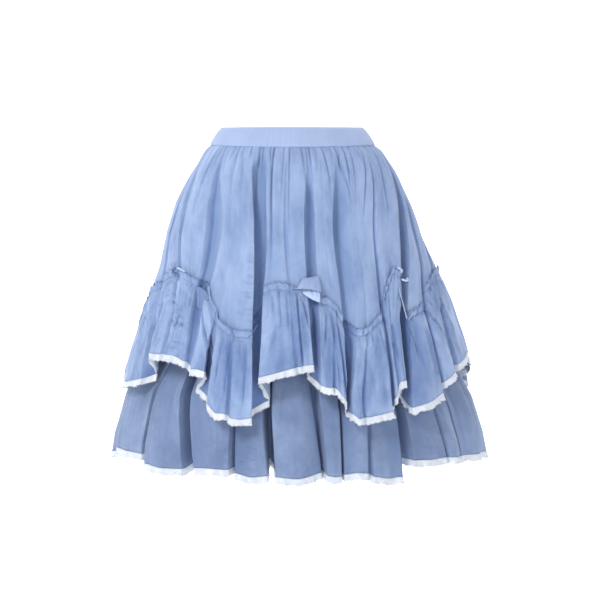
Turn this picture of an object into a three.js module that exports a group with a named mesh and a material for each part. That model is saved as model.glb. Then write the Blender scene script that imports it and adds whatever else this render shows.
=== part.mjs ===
// A knee-length, two-layer cotton skirt in its worn shape: an elastic waistband, a gathered overskirt
// cut to a zigzag edge, a gathered ruffle sewn along that edge, a longer underskirt, and lace at both hems.
// Millimetres, +Z up, front towards -Y. The origin is the centre of the waist opening, at the band's top
// edge.
import * as THREE from "three";

// Driving sizes
const clothWall = 1.2;
const laceWall = 1.0;
const bandWall = 2.4;
const seamGap = 0.3;
const bandHeight = 30;
const clothTop = -20; // where the gathered edges end, inside the band
const clothGrip = -32; // down to here the gathers are held flat
const openingRun = 34; // and over this length below it they open into folds
const headingHeight = 9; // the frill that stands above the ruffle's stitching, which is the overskirt's edge
const ruffleDrop = 127; // stitching line to the ruffle's edge, where a fold states no other
const laceHeight = 11;
const laceGap = 0.4; // from a hem to its lace
const gatherDepth = 1.8;
const gatherReach = 24; // distance from a gathered seam at which its puckers are deepest
const gatherRows = [-44, -66]; // heights of the overskirt's rows that carry the waist's puckers
const middleShare = 0.5; // its middle row, as a share of the way from them to the heading
const ruffleShares = [0.18, 0.5, 1]; // the ruffle's rows below its stitching, as shares of its drop
const hiddenRows = [-290, -385]; // heights of the underskirt's rows behind the ruffle
const hemShares = [0.45, 1]; // and its rows below them, as shares of the way to its hem
const columnPitch = 27; // widest step between the wall's columns on the stretch between two folds
const widestTurn = 9; // and the most degrees that one step turns through
const bandColumns = 60;
const crownShare = 0.05; // how far a stretch between two folds bulges out, as a share of its width
const crownDepths = 4; // which counts for at most this many times the depth of the folds beside it
const steepFrom = 4; // a tight fold's walls grow steep as its depth goes from this
const steepBy = 14; // to this
const softSteepness = 0.3; // how far a fold that isn't tight does so
const acrossTight = 5; // columns across a tight fold
const acrossSoft = 3; // and across any other
const ruffleOff = clothWall + seamGap; // from the overskirt's face to the ruffle's
const headingFlare = 0.6; // how far the heading's edge leans away from the overskirt
const outerLevels = [-32, -150, -270, -400]; // heights of the values in outerFolds
const innerLevels = [-32, -262, -400, -512]; // and in innerFolds
const degree = Math.PI / 180;

// Half-widths of the figure that the cloth hangs on, from the axis to its left, right, front and back.
const bandSections = [
  { z: 0, left: 116, right: 117, front: 86, back: 88 },
  { z: -4, left: 120, right: 121, front: 89, back: 91.5 },
  { z: -10, left: 125, right: 125.5, front: 92.5, back: 95 },
  { z: -16, left: 129.5, right: 129.3, front: 96.3, back: 98.8 },
  { z: -bandHeight, left: 134, right: 133, front: 101, back: 104 },
];
const outerSections = [
  { z: -20, left: 127.2, right: 126.7, front: 94.4, back: 96.9 },
  { z: -32, left: 130.9, right: 129.9, front: 97.9, back: 100.9 },
  { z: -42, left: 140, right: 139.5, front: 108, back: 111.5 },
  { z: -70, left: 158, right: 159, front: 126, back: 132 },
  { z: -118, left: 182, right: 182, front: 149, back: 157 },
  { z: -166, left: 199, right: 202, front: 168, back: 177 },
  { z: -214, left: 210, right: 225, front: 184, back: 192 },
  { z: -262, left: 226, right: 244, front: 201, back: 208 },
  { z: -310, left: 242, right: 261, front: 217, back: 223 },
  { z: -358, left: 259, right: 277, front: 231, back: 236 },
  { z: -403, left: 270, right: 286, front: 242, back: 247 },
  { z: -460, left: 280, right: 297, front: 254, back: 258 },
];
const innerSections = [
  { z: -20, left: 124.9, right: 124.4, front: 92.1, back: 94.6 },
  { z: -32, left: 128.6, right: 127.6, front: 95.6, back: 98.6 },
  { z: -290, left: 192, right: 205, front: 159, back: 167 },
  { z: -358, left: 226, right: 241, front: 182, back: 189 },
  { z: -403, left: 257, right: 268, front: 203, back: 210 },
  { z: -430, left: 268, right: 283, front: 218, back: 225 },
  { z: -486, left: 286, right: 301, front: 240, back: 247 },
  { z: -517, left: 290, right: 307, front: 248, back: 255 },
  { z: -540, left: 294, right: 311, front: 252, back: 260 },
];

// Folds of the outer cloth, from the left hip across the front and round the back, in degrees from the
// front. at, mouth, depth and lean have a value at each height in outerLevels: at is where the fold lies,
// mouth its width, depth how far it goes in and lean how far its floor is pushed sideways. A tight fold has
// steep walls. seam is the height of the zigzag seam at the fold's left edge, floor and right edge and on
// the crest after it, drop the ruffle's length at the same four places, where it isn't ruffleDrop.
const outerFolds = [
  {
    name: "left_hip", at: [-88, -78, -66, -59.5], mouth: [6, 12, 9, 7],
    depth: [3, 11, 9, 20], lean: [0, 2, 3, 9],
    seam: [-246, -245, -236, -228], drop: [141, 133, 111, 118], tight: true,
  },
  {
    name: "left_peak", at: [-76, -63, -52, -52.5], mouth: [6, 9, 11, 9],
    depth: [3, 9, 9, 8], lean: [0, 2, 2, 2],
    seam: [-220, -219, -221, -227], drop: [126, 124, 124, 116],
  },
  {
    name: "left_valley", at: [-50, -38, -38.5, -37], mouth: [8, 34, 20, 12],
    depth: [3, 16, 9, 8], lean: [0, 0, 0, 0],
    seam: [-234, -238, -242, -256], drop: [116, 118, 119, 103], tight: true,
  },
  {
    name: "left_tuck", at: [-39, -29, -29, -28.8], mouth: [6, 8, 12, 9],
    depth: [2, 0, 2, 34], lean: [0, 0, 0, -34],
    seam: [-282, -290, -295, -299], drop: [80, 100, 112, 122], tight: true,
  },
  {
    name: "left_point", at: [-31, -22.5, -21.5, -20.5], mouth: [6, 7, 8, 10],
    depth: [2, 0, 0, 7], lean: [0, 0, 0, 0],
    seam: [-302, -303, -304, -305], drop: [119, 121, 122, 123],
  },
  {
    name: "left_gap", at: [-20, -14.2, -12.8, -11.6], mouth: [22, 19, 14, 8],
    depth: [4, 27, 30, 30], lean: [0, -4, -3, 16],
    seam: [-305, -280, -240, -234], drop: [120, 123, 127, 126], tight: true,
  },
  {
    name: "centre", at: [-3, -2.8, 0, 2], mouth: [6, 8, 8, 8],
    depth: [3, 5, 2, 7], lean: [0, 0, 0, 2],
    seam: [-236, -237, -239, -244], drop: [117, 115, 112, 105],
  },
  {
    name: "centre_gap", at: [9.7, 7.8, 7.6, 8], mouth: [8, 16, 15, 8],
    depth: [4, 14, 14, 28], lean: [0, 2, 0, -14],
    seam: [-246, -250, -253, -256], drop: [102, 114, 125, 125], tight: true,
  },
  {
    name: "right_pleat", at: [17.5, 14.6, 14.4, 12.8], mouth: [6, 6, 7, 7],
    depth: [2, 0, 1, 6], lean: [0, 0, 0, 0],
    seam: [-260, -263, -266, -274], drop: [122, 119, 118, 119],
  },
  {
    name: "right_valley", at: [29, 22.5, 20.3, 17.4], mouth: [16, 26, 21, 9],
    depth: [4, 18, 14, 28], lean: [0, -2, 0, 0],
    seam: [-283, -292, -303, -304], drop: [120, 126, 118, 124], tight: true,
  },
  {
    name: "right_point", at: [40, 30.5, 27, 22], mouth: [6, 6, 7, 8],
    depth: [3, 0, 2, 6], lean: [0, 0, 0, 0],
    seam: [-303, -302, -300, -288], drop: [124, 125, 127, 136],
  },
  {
    name: "right_edge", at: [55, 40, 33.4, 32.2], mouth: [6, 8, 9, 8],
    depth: [3, 5, 8, 13], lean: [0, 0, 2, 6],
    seam: [-284, -272, -252, -216], drop: [137, 139, 148, 163],
  },
  {
    name: "right_gap", at: [82, 60.5, 43.3, 38], mouth: [7, 22, 18, 9],
    depth: [3, 27, 34, 26], lean: [0, 3, 4, 8],
    seam: [-222, -256, -284, -278], drop: [156, 154, 135, 134], tight: true,
  },
  {
    name: "right_hip", at: [92, 75.5, 55.3, 55], mouth: [6, 9, 9, 8],
    depth: [3, 10, 16, 18], lean: [0, -3, -5, -8],
    seam: [-272, -262, -248, -234], drop: [132, 135, 141, 144], tight: true,
  },
  {
    name: "right_side", at: [103, 90, 69, 66], mouth: [6, 12, 10, 9],
    depth: [3, 8, 7, 12], lean: [0, 0, 0, -4],
    seam: [-231, -230, -229, -227], drop: [144, 142, 139, 130],
  },
  {
    name: "right_seam", at: [115, 108, 104, 103], mouth: [6, 14, 11, 8],
    depth: [3, 14, 16, 18], lean: [0, 2, 2, 6],
    seam: [-270, -280, -292, -303], tight: true,
  },
  {
    name: "back_right_soft", at: [127, 123, 121, 121], mouth: [6, 10, 10, 9],
    depth: [3, 8, 6, 12], lean: [0, 0, 0, -4],
    seam: [-286, -276, -262, -235],
  },
  {
    name: "back_right_deep", at: [140, 138, 138, 139], mouth: [8, 20, 15, 8],
    depth: [4, 20, 22, 26], lean: [0, -3, -3, -12],
    seam: [-222, -224, -234, -264], tight: true,
  },
  {
    name: "back_right_point", at: [154, 153, 153.5, 154], mouth: [6, 8, 9, 9],
    depth: [3, 4, 5, 10], lean: [0, 0, 0, 3],
    seam: [-287, -294, -300, -305],
  },
  {
    name: "back_gap", at: [168, 169, 170, 170], mouth: [8, 17, 14, 8],
    depth: [4, 20, 24, 27], lean: [0, 3, 3, 13],
    seam: [-296, -282, -258, -234], tight: true,
  },
  {
    name: "back_centre", at: [183, 184, 185, 186], mouth: [6, 8, 9, 9],
    depth: [3, 6, 4, 10], lean: [0, 0, 0, 0],
    seam: [-226, -224, -227, -241],
  },
  {
    name: "back_left_deep", at: [198, 199, 201, 202], mouth: [8, 18, 13, 8],
    depth: [4, 17, 19, 26], lean: [0, -2, -2, -10],
    seam: [-263, -274, -288, -300], tight: true,
  },
  {
    name: "back_left_point", at: [213, 215, 217, 218], mouth: [6, 8, 10, 9],
    depth: [3, 6, 6, 12], lean: [0, 0, 0, 4],
    seam: [-304, -302, -297, -274],
  },
  {
    name: "back_left_gap", at: [230, 232, 234, 236], mouth: [8, 18, 14, 8],
    depth: [4, 20, 21, 26], lean: [0, 2, 2, 11],
    seam: [-252, -244, -235, -224], tight: true,
  },
  {
    name: "back_left_soft", at: [244, 247, 251, 254], mouth: [6, 8, 10, 9],
    depth: [3, 6, 6, 11], lean: [0, 0, 0, 0],
    seam: [-226, -234, -244, -264],
  },
  {
    name: "left_seam", at: [257, 264, 271, 276], mouth: [6, 10, 12, 9],
    depth: [3, 10, 9, 10], lean: [0, 0, 0, -4],
    seam: [-280, -279, -272, -256], drop: [128, 130, 133, 142],
  },
];

// Folds of the underskirt, with values at the heights in innerLevels.
// hem is the height of its edge at the fold's left edge, floor and right edge and on the crest after it.
const innerFolds = [
  {
    name: "left", at: [-76, -76, -75, -73], mouth: [5, 6, 8, 9],
    depth: [0.6, 3, 9, 16], lean: [0, 0, 0, 4],
    hem: [-508, -503, -501, -499],
  },
  {
    name: "left_lap", at: [-60, -57, -55, -52.5], mouth: [5, 5, 6, 6],
    depth: [0.6, 4, 14, 25], lean: [0, 0, 4, 9],
    hem: [-497, -498, -510, -511], tight: true,
  },
  {
    name: "left_recess", at: [-42, -41, -39, -32.7], mouth: [5, 8, 16, 20],
    depth: [0.6, 5, 28, 34], lean: [0, 0, -4, -4],
    hem: [-508, -501, -505, -503], tight: true,
  },
  {
    name: "left_slit", at: [-23, -22, -20, -18], mouth: [5, 5, 6, 7],
    depth: [0.6, 3, 10, 20], lean: [0, 0, 0, 4],
    hem: [-502, -500, -508, -512], tight: true,
  },
  {
    name: "centre_left", at: [-9.5, -9, -8.5, -6], mouth: [5, 8, 15, 12],
    depth: [0.6, 6, 32, 44], lean: [0, 0, 0, -7],
    hem: [-509, -492, -511, -512], tight: true,
  },
  {
    name: "centre", at: [6, 6.5, 7.6, 9.2], mouth: [5, 6, 12, 8],
    depth: [0.6, 4, 18, 26], lean: [0, 0, 0, -6],
    hem: [-506, -502, -509, -511], tight: true,
  },
  {
    name: "centre_slit", at: [15, 15, 15.2, 14.4], mouth: [5, 5, 5, 5],
    depth: [0.6, 3, 12, 16], lean: [0, 0, 0, 3],
    hem: [-511, -508, -510, -507],
  },
  {
    name: "right_soft", at: [23, 23, 24, 22.6], mouth: [5, 5, 8, 10],
    depth: [0.6, 3, 6, 10], lean: [0, 0, 0, 0],
    hem: [-509, -511, -514, -519],
  },
  {
    name: "right_recess", at: [38, 37.5, 36, 35.2], mouth: [5, 8, 16, 22],
    depth: [0.6, 7, 34, 48], lean: [0, 0, 0, -8],
    hem: [-519, -494, -497, -500], tight: true,
  },
  {
    name: "right_soft_b", at: [50, 50, 50, 52], mouth: [5, 5, 5, 6],
    depth: [0.6, 3, 6, 10], lean: [0, 0, 0, 0],
    hem: [-501, -501, -501, -503],
  },
  {
    name: "right_slit", at: [60, 60, 59.5, 60], mouth: [5, 5, 6, 6],
    depth: [0.6, 3, 10, 16], lean: [0, 0, 0, -4],
    hem: [-505, -505, -505, -508], tight: true,
  },
  {
    name: "right", at: [78, 78, 79, 79], mouth: [5, 6, 8, 10],
    depth: [0.6, 4, 12, 22], lean: [0, 0, 0, 5],
    hem: [-513, -513, -515, -523], tight: true,
  },
  {
    name: "right_back", at: [104, 104, 104, 103], mouth: [5, 6, 10, 12],
    depth: [0.6, 5, 20, 30], lean: [0, 0, 0, -6],
    hem: [-523, -517, -522, -526], tight: true,
  },
  {
    name: "back_a", at: [121, 121, 121, 121], mouth: [5, 5, 7, 8],
    depth: [0.6, 3, 9, 16], lean: [0, 0, 0, 3],
    hem: [-524, -521, -523, -527],
  },
  {
    name: "back_b", at: [138, 138, 138, 140], mouth: [5, 8, 15, 14],
    depth: [0.6, 6, 30, 38], lean: [0, 0, 0, -6],
    hem: [-524, -512, -522, -526], tight: true,
  },
  {
    name: "back_c", at: [154, 154, 154, 155], mouth: [5, 5, 7, 8],
    depth: [0.6, 3, 9, 17], lean: [0, 0, 0, 3],
    hem: [-524, -520, -522, -525],
  },
  {
    name: "back_d", at: [170, 170, 170, 171], mouth: [5, 8, 15, 13],
    depth: [0.6, 6, 32, 40], lean: [0, 0, 0, 6],
    hem: [-522, -508, -520, -524], tight: true,
  },
  {
    name: "back_e", at: [187, 187, 187, 188], mouth: [5, 5, 8, 9],
    depth: [0.6, 3, 10, 18], lean: [0, 0, 0, -3],
    hem: [-522, -519, -522, -525],
  },
  {
    name: "back_f", at: [202, 202, 202, 203], mouth: [5, 7, 13, 12],
    depth: [0.6, 5, 27, 34], lean: [0, 0, 0, -5],
    hem: [-523, -512, -521, -525], tight: true,
  },
  {
    name: "back_g", at: [219, 219, 219, 220], mouth: [5, 5, 7, 8],
    depth: [0.6, 3, 10, 17], lean: [0, 0, 0, 3],
    hem: [-523, -520, -522, -524],
  },
  {
    name: "back_h", at: [235, 235, 236, 238], mouth: [5, 8, 15, 13],
    depth: [0.6, 6, 30, 36], lean: [0, 0, 0, 6],
    hem: [-520, -508, -518, -522], tight: true,
  },
  {
    name: "left_back", at: [252, 252, 253, 254], mouth: [5, 5, 7, 8],
    depth: [0.6, 3, 10, 17], lean: [0, 0, 0, -3],
    hem: [-521, -517, -519, -521],
  },
  {
    name: "left_side", at: [267, 268, 269, 270], mouth: [5, 6, 9, 9],
    depth: [0.6, 4, 14, 23], lean: [0, 0, 0, 4],
    hem: [-519, -514, -516, -515], tight: true,
  },
];

const mix = (a, b, t) => a + (b - a) * t;

// A value eased from each of a list to the next, at s from 0 to the last one's number.
function eased(values, s) {
  const i = Math.min(Math.floor(s), values.length - 2);
  return mix(values[i], values[i + 1], THREE.MathUtils.smoothstep(s, i, i + 1));
}

// A smooth curve through evenly spaced values, which doesn't stop at each of them.
function along(values, s) {
  const last = values.length - 1;
  const x = THREE.MathUtils.clamp(s, 0, last);
  const i = Math.min(Math.floor(x), last - 1);
  const t = x - i;
  const [a, b, c, d] = [-1, 0, 1, 2].map((k) => values[THREE.MathUtils.clamp(i + k, 0, last)]);
  return b + 0.5 * t * (c - a + t * (2 * a - 5 * b + 4 * c - d + t * (3 * (b - c) + d - a)));
}

// Half-widths at a height, from a table of sections.
function sectionAt(sections, z) {
  const last = sections.length - 2;
  const next = sections.findIndex((row) => row.z <= z);
  const i = THREE.MathUtils.clamp(next < 0 ? last : next - 1, 0, last);
  const [upper, lower] = [sections[i], sections[i + 1]];
  const t = THREE.MathUtils.clamp((upper.z - z) / (upper.z - lower.z), 0, 1);
  const at = (side) => mix(upper[side], lower[side], t);
  return { left: at("left"), right: at("right"), front: at("front"), back: at("back") };
}

function meanRadius(sections, z) {
  const half = sectionAt(sections, z);
  return (half.left + half.right + half.front + half.back) / 4;
}

// The point of the figure at an angle and a height, moved out along its normal and aside along its tangent.
function figurePoint(sections, angle, z, out = 0, aside = 0) {
  const half = sectionAt(sections, z);
  const [sin, cos] = [Math.sin(angle), Math.cos(angle)];
  const a = sin > 0 ? half.right : half.left;
  const b = cos > 0 ? half.front : half.back;
  const normal = new THREE.Vector2(sin / a, -cos / b).normalize();
  return new THREE.Vector3(
    a * sin + normal.x * out - normal.y * aside,
    -b * cos + normal.y * out + normal.x * aside,
    z,
  );
}

// The columns of a folded tube of cloth, each either p across a fold (-1 to 1) or q along the stretch after
// it (0 to 1), where every other one stands out as a pucker's crest and the rest as its hollow.
function columnsOf({ folds, sections, levels }) {
  const radii = levels.map((z) => meanRadius(sections, z));
  return folds.flatMap((fold, i) => {
    const next = folds[(i + 1) % folds.length];
    const widths = radii.map((radius, level) => {
      const turn = (next.at[level] - fold.at[level] + 360) % 360;
      const width = turn * degree * radius - (fold.mouth[level] + next.mouth[level]) / 2;
      return Math.max(width, (turn * columnPitch) / widestTurn);
    });
    const across = fold.tight ? acrossTight : acrossSoft;
    const steps = Math.max(1, Math.ceil(Math.max(...widths) / columnPitch));
    return [
      ...Array.from({ length: across }, (_, k) => ({ i, p: -1 + (2 * k) / across })),
      ...Array.from({ length: steps }, (_, k) => ({ i, q: k / steps, side: k === 0 ? 0 : (-1) ** k })),
    ];
  });
}

// A value given at a fold's left edge, floor, right edge and next crest, read at a column.
function heightAt(folds, column, read) {
  const here = read(folds[column.i]);
  if (column.p !== undefined) {
    return column.p < 0 ? mix(here[0], here[1], column.p + 1) : mix(here[1], here[2], column.p);
  }
  const next = read(folds[(column.i + 1) % folds.length]);
  return column.q < 0.5 ? mix(here[2], here[3], 2 * column.q) : mix(here[3], next[0], 2 * column.q - 1);
}

// How far the cloth is free of the band at a height, from 0 just below it to 1 where its folds are open.
const freeOfBand = (z) => THREE.MathUtils.smoothstep(clothGrip - z, 0, openingRun);

// Where a height lies among the levels of a table of folds: 0 at its first value, 1 at its second and so on.
function levelAt(levels, z) {
  const i = THREE.MathUtils.clamp(levels.findIndex((level) => level <= z) - 1, 0, levels.length - 2);
  const below = z < levels.at(-1) ? levels.length - 2 : i;
  const level = below + (levels[below] - z) / (levels[below] - levels[below + 1]);
  return THREE.MathUtils.clamp(level, 0, levels.length - 1);
}

// A point of a folded tube at a height, lifted off the cloth by out.
function foldedPoint({ folds, sections, levels }, column, z, out) {
  const level = levelAt(levels, z);
  const radius = meanRadius(sections, z);
  const open = freeOfBand(z);
  const depthOf = (fold) => eased(fold.depth, level) * open;
  const fold = folds[column.i];
  if (column.p === undefined) {
    const next = folds[(column.i + 1) % folds.length];
    const turn = next === folds[0] ? 360 : 0;
    const from = along(fold.at, level) * degree + eased(fold.mouth, level) / 2 / radius;
    const to = (along(next.at, level) + turn) * degree - eased(next.mouth, level) / 2 / radius;
    const width = Math.min((to - from) * radius, crownDepths * depthOf(fold), crownDepths * depthOf(next));
    const crown = crownShare * width * Math.sin(Math.PI * column.q) ** 2;
    const puckers = column.side * puckerAt(clothGrip - z);
    return figurePoint(sections, mix(from, to, column.q), z, out + puckers + crown);
  }
  const p = column.p;
  const shape = (1 - p * p) ** 2;
  const [mouth, depth] = [eased(fold.mouth, level), depthOf(fold)];
  const steep = (fold.tight ? 1 : softSteepness) * THREE.MathUtils.smoothstep(depth, steepFrom, steepBy);
  const aside = 0.5 * mouth * p * (1 + steep * (1 - p * p)) + eased(fold.lean, level) * shape * open;
  return figurePoint(sections, along(fold.at, level) * degree, z, out - depth * shape, aside);
}

// How far a gathered seam's puckers stand out at a distance from it.
function puckerAt(distance) {
  const x = Math.max(0, distance) / gatherReach;
  return gatherDepth * x * Math.exp(1 - x);
}

// A sheet is the outer face of a piece of cloth: rows of points from the top down, columns to the right, and
// their normals.
function sheetFrom(points) {
  const rows = points.length;
  const cols = points[0].length;
  const normals = points.map((row, r) =>
    row.map((_, c) => {
      const down = points[Math.min(r + 1, rows - 1)][c].clone().sub(points[Math.max(r - 1, 0)][c]);
      const before = points[r][c].clone().sub(points[r][(c + cols - 1) % cols]);
      const after = points[r][(c + 1) % cols].clone().sub(points[r][c]);
      const sides = [before, after].map((aside) => aside.crossVectors(down, aside).normalize());
      return sides[0].add(sides[1]).normalize();
    }),
  );
  return { points, normals };
}

// The part of a closed sheet between two columns, with half a seam's gap left at each end.
function panelFrom(sheet, from, to) {
  const cols = sheet.points[0].length;
  const numbers = Array.from({ length: to - from + 1 }, (_, k) => (from + k + cols) % cols);
  const points = sheet.points.map((row) => numbers.map((c) => row[c].clone()));
  for (const row of points) {
    for (const [end, beside] of [[0, 1], [row.length - 1, row.length - 2]]) {
      row[end].addScaledVector(row[beside].clone().sub(row[end]).normalize(), seamGap / 2);
    }
  }
  return { points, normals: sheet.normals.map((row) => numbers.map((c) => row[c])) };
}

// A wall of cloth behind a sheet, all round where it is closed.
function wallFrom(sheet, wall, closed) {
  const rows = sheet.points.length;
  const cols = sheet.points[0].length;
  const behind = (point, r, c) => point.clone().addScaledVector(sheet.normals[r][c], -wall);
  const inner = sheet.points.map((row, r) => row.map((point, c) => behind(point, r, c)));
  const outerAt = (r, c) => r * cols + (c % cols);
  const innerAt = (r, c) => rows * cols + outerAt(r, c);
  const faces = [];
  const quad = (a, b, c, d) => faces.push(a, b, c, a, c, d);
  for (let c = 0; c < (closed ? cols : cols - 1); c++) {
    for (let r = 0; r < rows - 1; r++) {
      quad(outerAt(r, c), outerAt(r + 1, c), outerAt(r + 1, c + 1), outerAt(r, c + 1));
      quad(innerAt(r, c), innerAt(r, c + 1), innerAt(r + 1, c + 1), innerAt(r + 1, c));
    }
    quad(outerAt(0, c), outerAt(0, c + 1), innerAt(0, c + 1), innerAt(0, c));
    quad(outerAt(rows - 1, c), innerAt(rows - 1, c), innerAt(rows - 1, c + 1), outerAt(rows - 1, c + 1));
  }
  if (!closed) {
    for (let r = 0; r < rows - 1; r++) {
      quad(outerAt(r, 0), innerAt(r, 0), innerAt(r + 1, 0), outerAt(r + 1, 0));
      quad(outerAt(r, cols - 1), outerAt(r + 1, cols - 1), innerAt(r + 1, cols - 1), innerAt(r, cols - 1));
    }
  }
  const points = [...sheet.points.flat(), ...inner.flat()];
  const geometry = new THREE.BufferGeometry().setFromPoints(points).setIndex(faces);
  geometry.computeVertexNormals();
  return geometry;
}

const skirt = new THREE.Group();

function addPiece(name, geometry, material) {
  const mesh = new THREE.Mesh(geometry, material);
  mesh.name = name;
  skirt.add(mesh);
}

// Front and back panels of a closed sheet, parted at its two side seams.
function addPanels(name, sheet, seams, wall, material) {
  const cols = sheet.points[0].length;
  const [right, left] = seams;
  addPiece(`${name}_front`, wallFrom(panelFrom(sheet, left - cols, right), wall, false), material());
  addPiece(`${name}_back`, wallFrom(panelFrom(sheet, right, left), wall, false), material());
}

// The number of the column in the middle of the stretch after a fold, where a side seam runs.
function columnAfter(columns, folds, name) {
  const i = folds.findIndex((fold) => fold.name === name);
  const numbers = columns.map((_, number) => number);
  const stretch = numbers.filter((number) => columns[number].i === i && columns[number].p === undefined);
  return stretch[Math.floor(stretch.length / 2)];
}

const cotton = () => new THREE.MeshStandardMaterial({ color: 0x7f9fd2, roughness: 0.9, metalness: 0 });
const elastic = () => new THREE.MeshStandardMaterial({ color: 0xa9c2e6, roughness: 0.75, metalness: 0 });
const lace = () => new THREE.MeshStandardMaterial({ color: 0xf3f4f8, roughness: 0.9, metalness: 0 });

const outerTube = { folds: outerFolds, sections: outerSections, levels: outerLevels };
const innerTube = { folds: innerFolds, sections: innerSections, levels: innerLevels };
const outerColumns = columnsOf(outerTube);
const innerColumns = columnsOf(innerTube);
const outerSeams = ["right_side", "left_seam"].map((name) => columnAfter(outerColumns, outerFolds, name));
const innerSeams = ["right", "left_side"].map((name) => columnAfter(innerColumns, innerFolds, name));

const seamZ = (column) => heightAt(outerFolds, column, (fold) => fold.seam);
const dropOf = (fold) => fold.drop ?? Array(4).fill(ruffleDrop);
const ruffleLength = (column) => heightAt(outerFolds, column, dropOf);
const hemZ = (column) => heightAt(innerFolds, column, (fold) => fold.hem);

// A folded tube's sheet, with each row's height worked out from the height of the cloth's edge at a column
function tubeSheet(tube, columns, edgeZ, heights) {
  const rowAt = (height) => columns.map((column) => foldedPoint(tube, column, height(edgeZ(column)), 0));
  return sheetFrom(heights.map(rowAt));
}

// Waistband: one closed loop of wide elastic
function addWaistband() {
  const around = Array.from({ length: bandColumns }, (_, k) => (k / bandColumns) * 2 * Math.PI);
  const rows = bandSections.map(({ z }) => around.map((angle) => figurePoint(bandSections, angle, z)));
  const sheet = sheetFrom(rows);
  addPiece("waistband", wallFrom(sheet, bandWall, true), elastic());
}

// Overskirt: from inside the band to its zigzag edge
function overskirtSheet() {
  const heights = [
    ...[clothTop, clothGrip, ...gatherRows].map((z) => () => z),
    (seam) => mix(gatherRows.at(-1), seam + headingHeight, middleShare),
    (seam) => seam + headingHeight,
    (seam) => seam,
  ];
  return tubeSheet(outerTube, outerColumns, seamZ, heights);
}

// Ruffle: its heading and stitching line lie on the overskirt's last two rows, moved out, and the rest hangs
// free
function ruffleSheet(overskirt) {
  const lifts = [ruffleOff + headingFlare, ruffleOff];
  const sewn = overskirt.points.slice(-2).map((row, r) =>
    row.map((point, c) => point.clone().addScaledVector(overskirt.normals.at(r - 2)[c], lifts[r])),
  );
  const free = ruffleShares.map((share) =>
    outerColumns.map((column) => {
      const below = ruffleLength(column) * share;
      const puckers = (column.side ?? 0) * puckerAt(below);
      return foldedPoint(outerTube, column, seamZ(column) - below, ruffleOff + puckers);
    }),
  );
  return sheetFrom([...sewn, ...free]);
}

function underskirtSheet() {
  const heights = [
    ...[clothTop, clothGrip, ...hiddenRows].map((z) => () => z),
    ...hemShares.map((share) => (hem) => mix(hiddenRows.at(-1), hem, share)),
  ];
  return tubeSheet(innerTube, innerColumns, hemZ, heights);
}

// Lace: a strip that carries on from a sheet's lower edge
function laceSheet(cloth) {
  const [above, edge, normals] = [cloth.points.at(-2), cloth.points.at(-1), cloth.normals.at(-1)];
  const points = [laceGap, laceHeight].map((below) =>
    edge.map((point, c) => point.clone().addScaledVector(point.clone().sub(above[c]).normalize(), below)),
  );
  return { points, normals: [normals, normals] };
}

const overskirt = overskirtSheet();
const ruffle = ruffleSheet(overskirt);
const underskirt = underskirtSheet();
addWaistband();
addPanels("overskirt", overskirt, outerSeams, clothWall, cotton);
addPanels("ruffle", ruffle, outerSeams, clothWall, cotton);
addPanels("ruffle_lace", laceSheet(ruffle), outerSeams, laceWall, lace);
addPanels("underskirt", underskirt, innerSeams, clothWall, cotton);
addPanels("underskirt_lace", laceSheet(underskirt), innerSeams, laceWall, lace);

export default skirt;
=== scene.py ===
import math

import bpy
import numpy as np
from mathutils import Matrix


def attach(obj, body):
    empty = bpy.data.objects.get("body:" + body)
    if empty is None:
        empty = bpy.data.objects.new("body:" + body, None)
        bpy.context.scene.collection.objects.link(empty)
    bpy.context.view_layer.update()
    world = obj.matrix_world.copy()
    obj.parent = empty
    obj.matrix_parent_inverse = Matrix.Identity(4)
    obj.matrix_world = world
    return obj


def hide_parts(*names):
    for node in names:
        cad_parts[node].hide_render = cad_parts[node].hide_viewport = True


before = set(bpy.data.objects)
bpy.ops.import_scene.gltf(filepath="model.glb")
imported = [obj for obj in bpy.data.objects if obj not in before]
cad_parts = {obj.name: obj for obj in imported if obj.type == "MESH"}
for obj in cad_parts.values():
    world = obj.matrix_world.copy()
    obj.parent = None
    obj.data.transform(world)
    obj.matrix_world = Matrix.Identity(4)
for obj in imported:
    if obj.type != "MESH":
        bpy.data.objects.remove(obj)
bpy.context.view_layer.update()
print("frame loaded")

mm = 0.001
degree = math.pi / 180

# Half-widths in mm of the figure that the cloth hangs on: height, then to its left, right, front and back
outerFigure = [
    (-22, 125, 124.6, 94.4, 96.9), (-29, 130.6, 130.4, 98.4, 101.2), (-36, 136.6, 138, 104, 107),
    (-43, 141.4, 143.6, 109, 112.5), (-70, 158, 159, 126, 132), (-118, 182, 182, 149, 157),
    (-166, 199, 202, 168, 177), (-214, 210, 225, 184, 192), (-262, 226, 244, 201, 208),
    (-310, 242, 261, 217, 223), (-358, 259, 277, 231, 236), (-403, 270, 286, 242, 247),
    (-460, 280, 297, 254, 258),
]
innerFigure = [
    (-20, 124.9, 124.4, 92.1, 94.6), (-32, 128.6, 127.6, 95.6, 98.6), (-290, 192, 205, 159, 167),
    (-358, 226, 241, 182, 189), (-403, 257, 268, 203, 210), (-430, 268, 283, 218, 225),
    (-486, 286, 301, 240, 247), (-517, 290, 307, 248, 255), (-540, 294, 311, 252, 260),
]
bandFigure = [
    (0, 113, 113, 86, 88), (-4, 117, 116.5, 89, 91.5), (-10, 121.6, 121, 92.5, 95),
    (-16, 125.4, 125, 95.5, 98), (-24, 130.6, 130.5, 99.4, 102), (-30, 133.8, 134, 101.5, 104.5),
]

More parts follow.
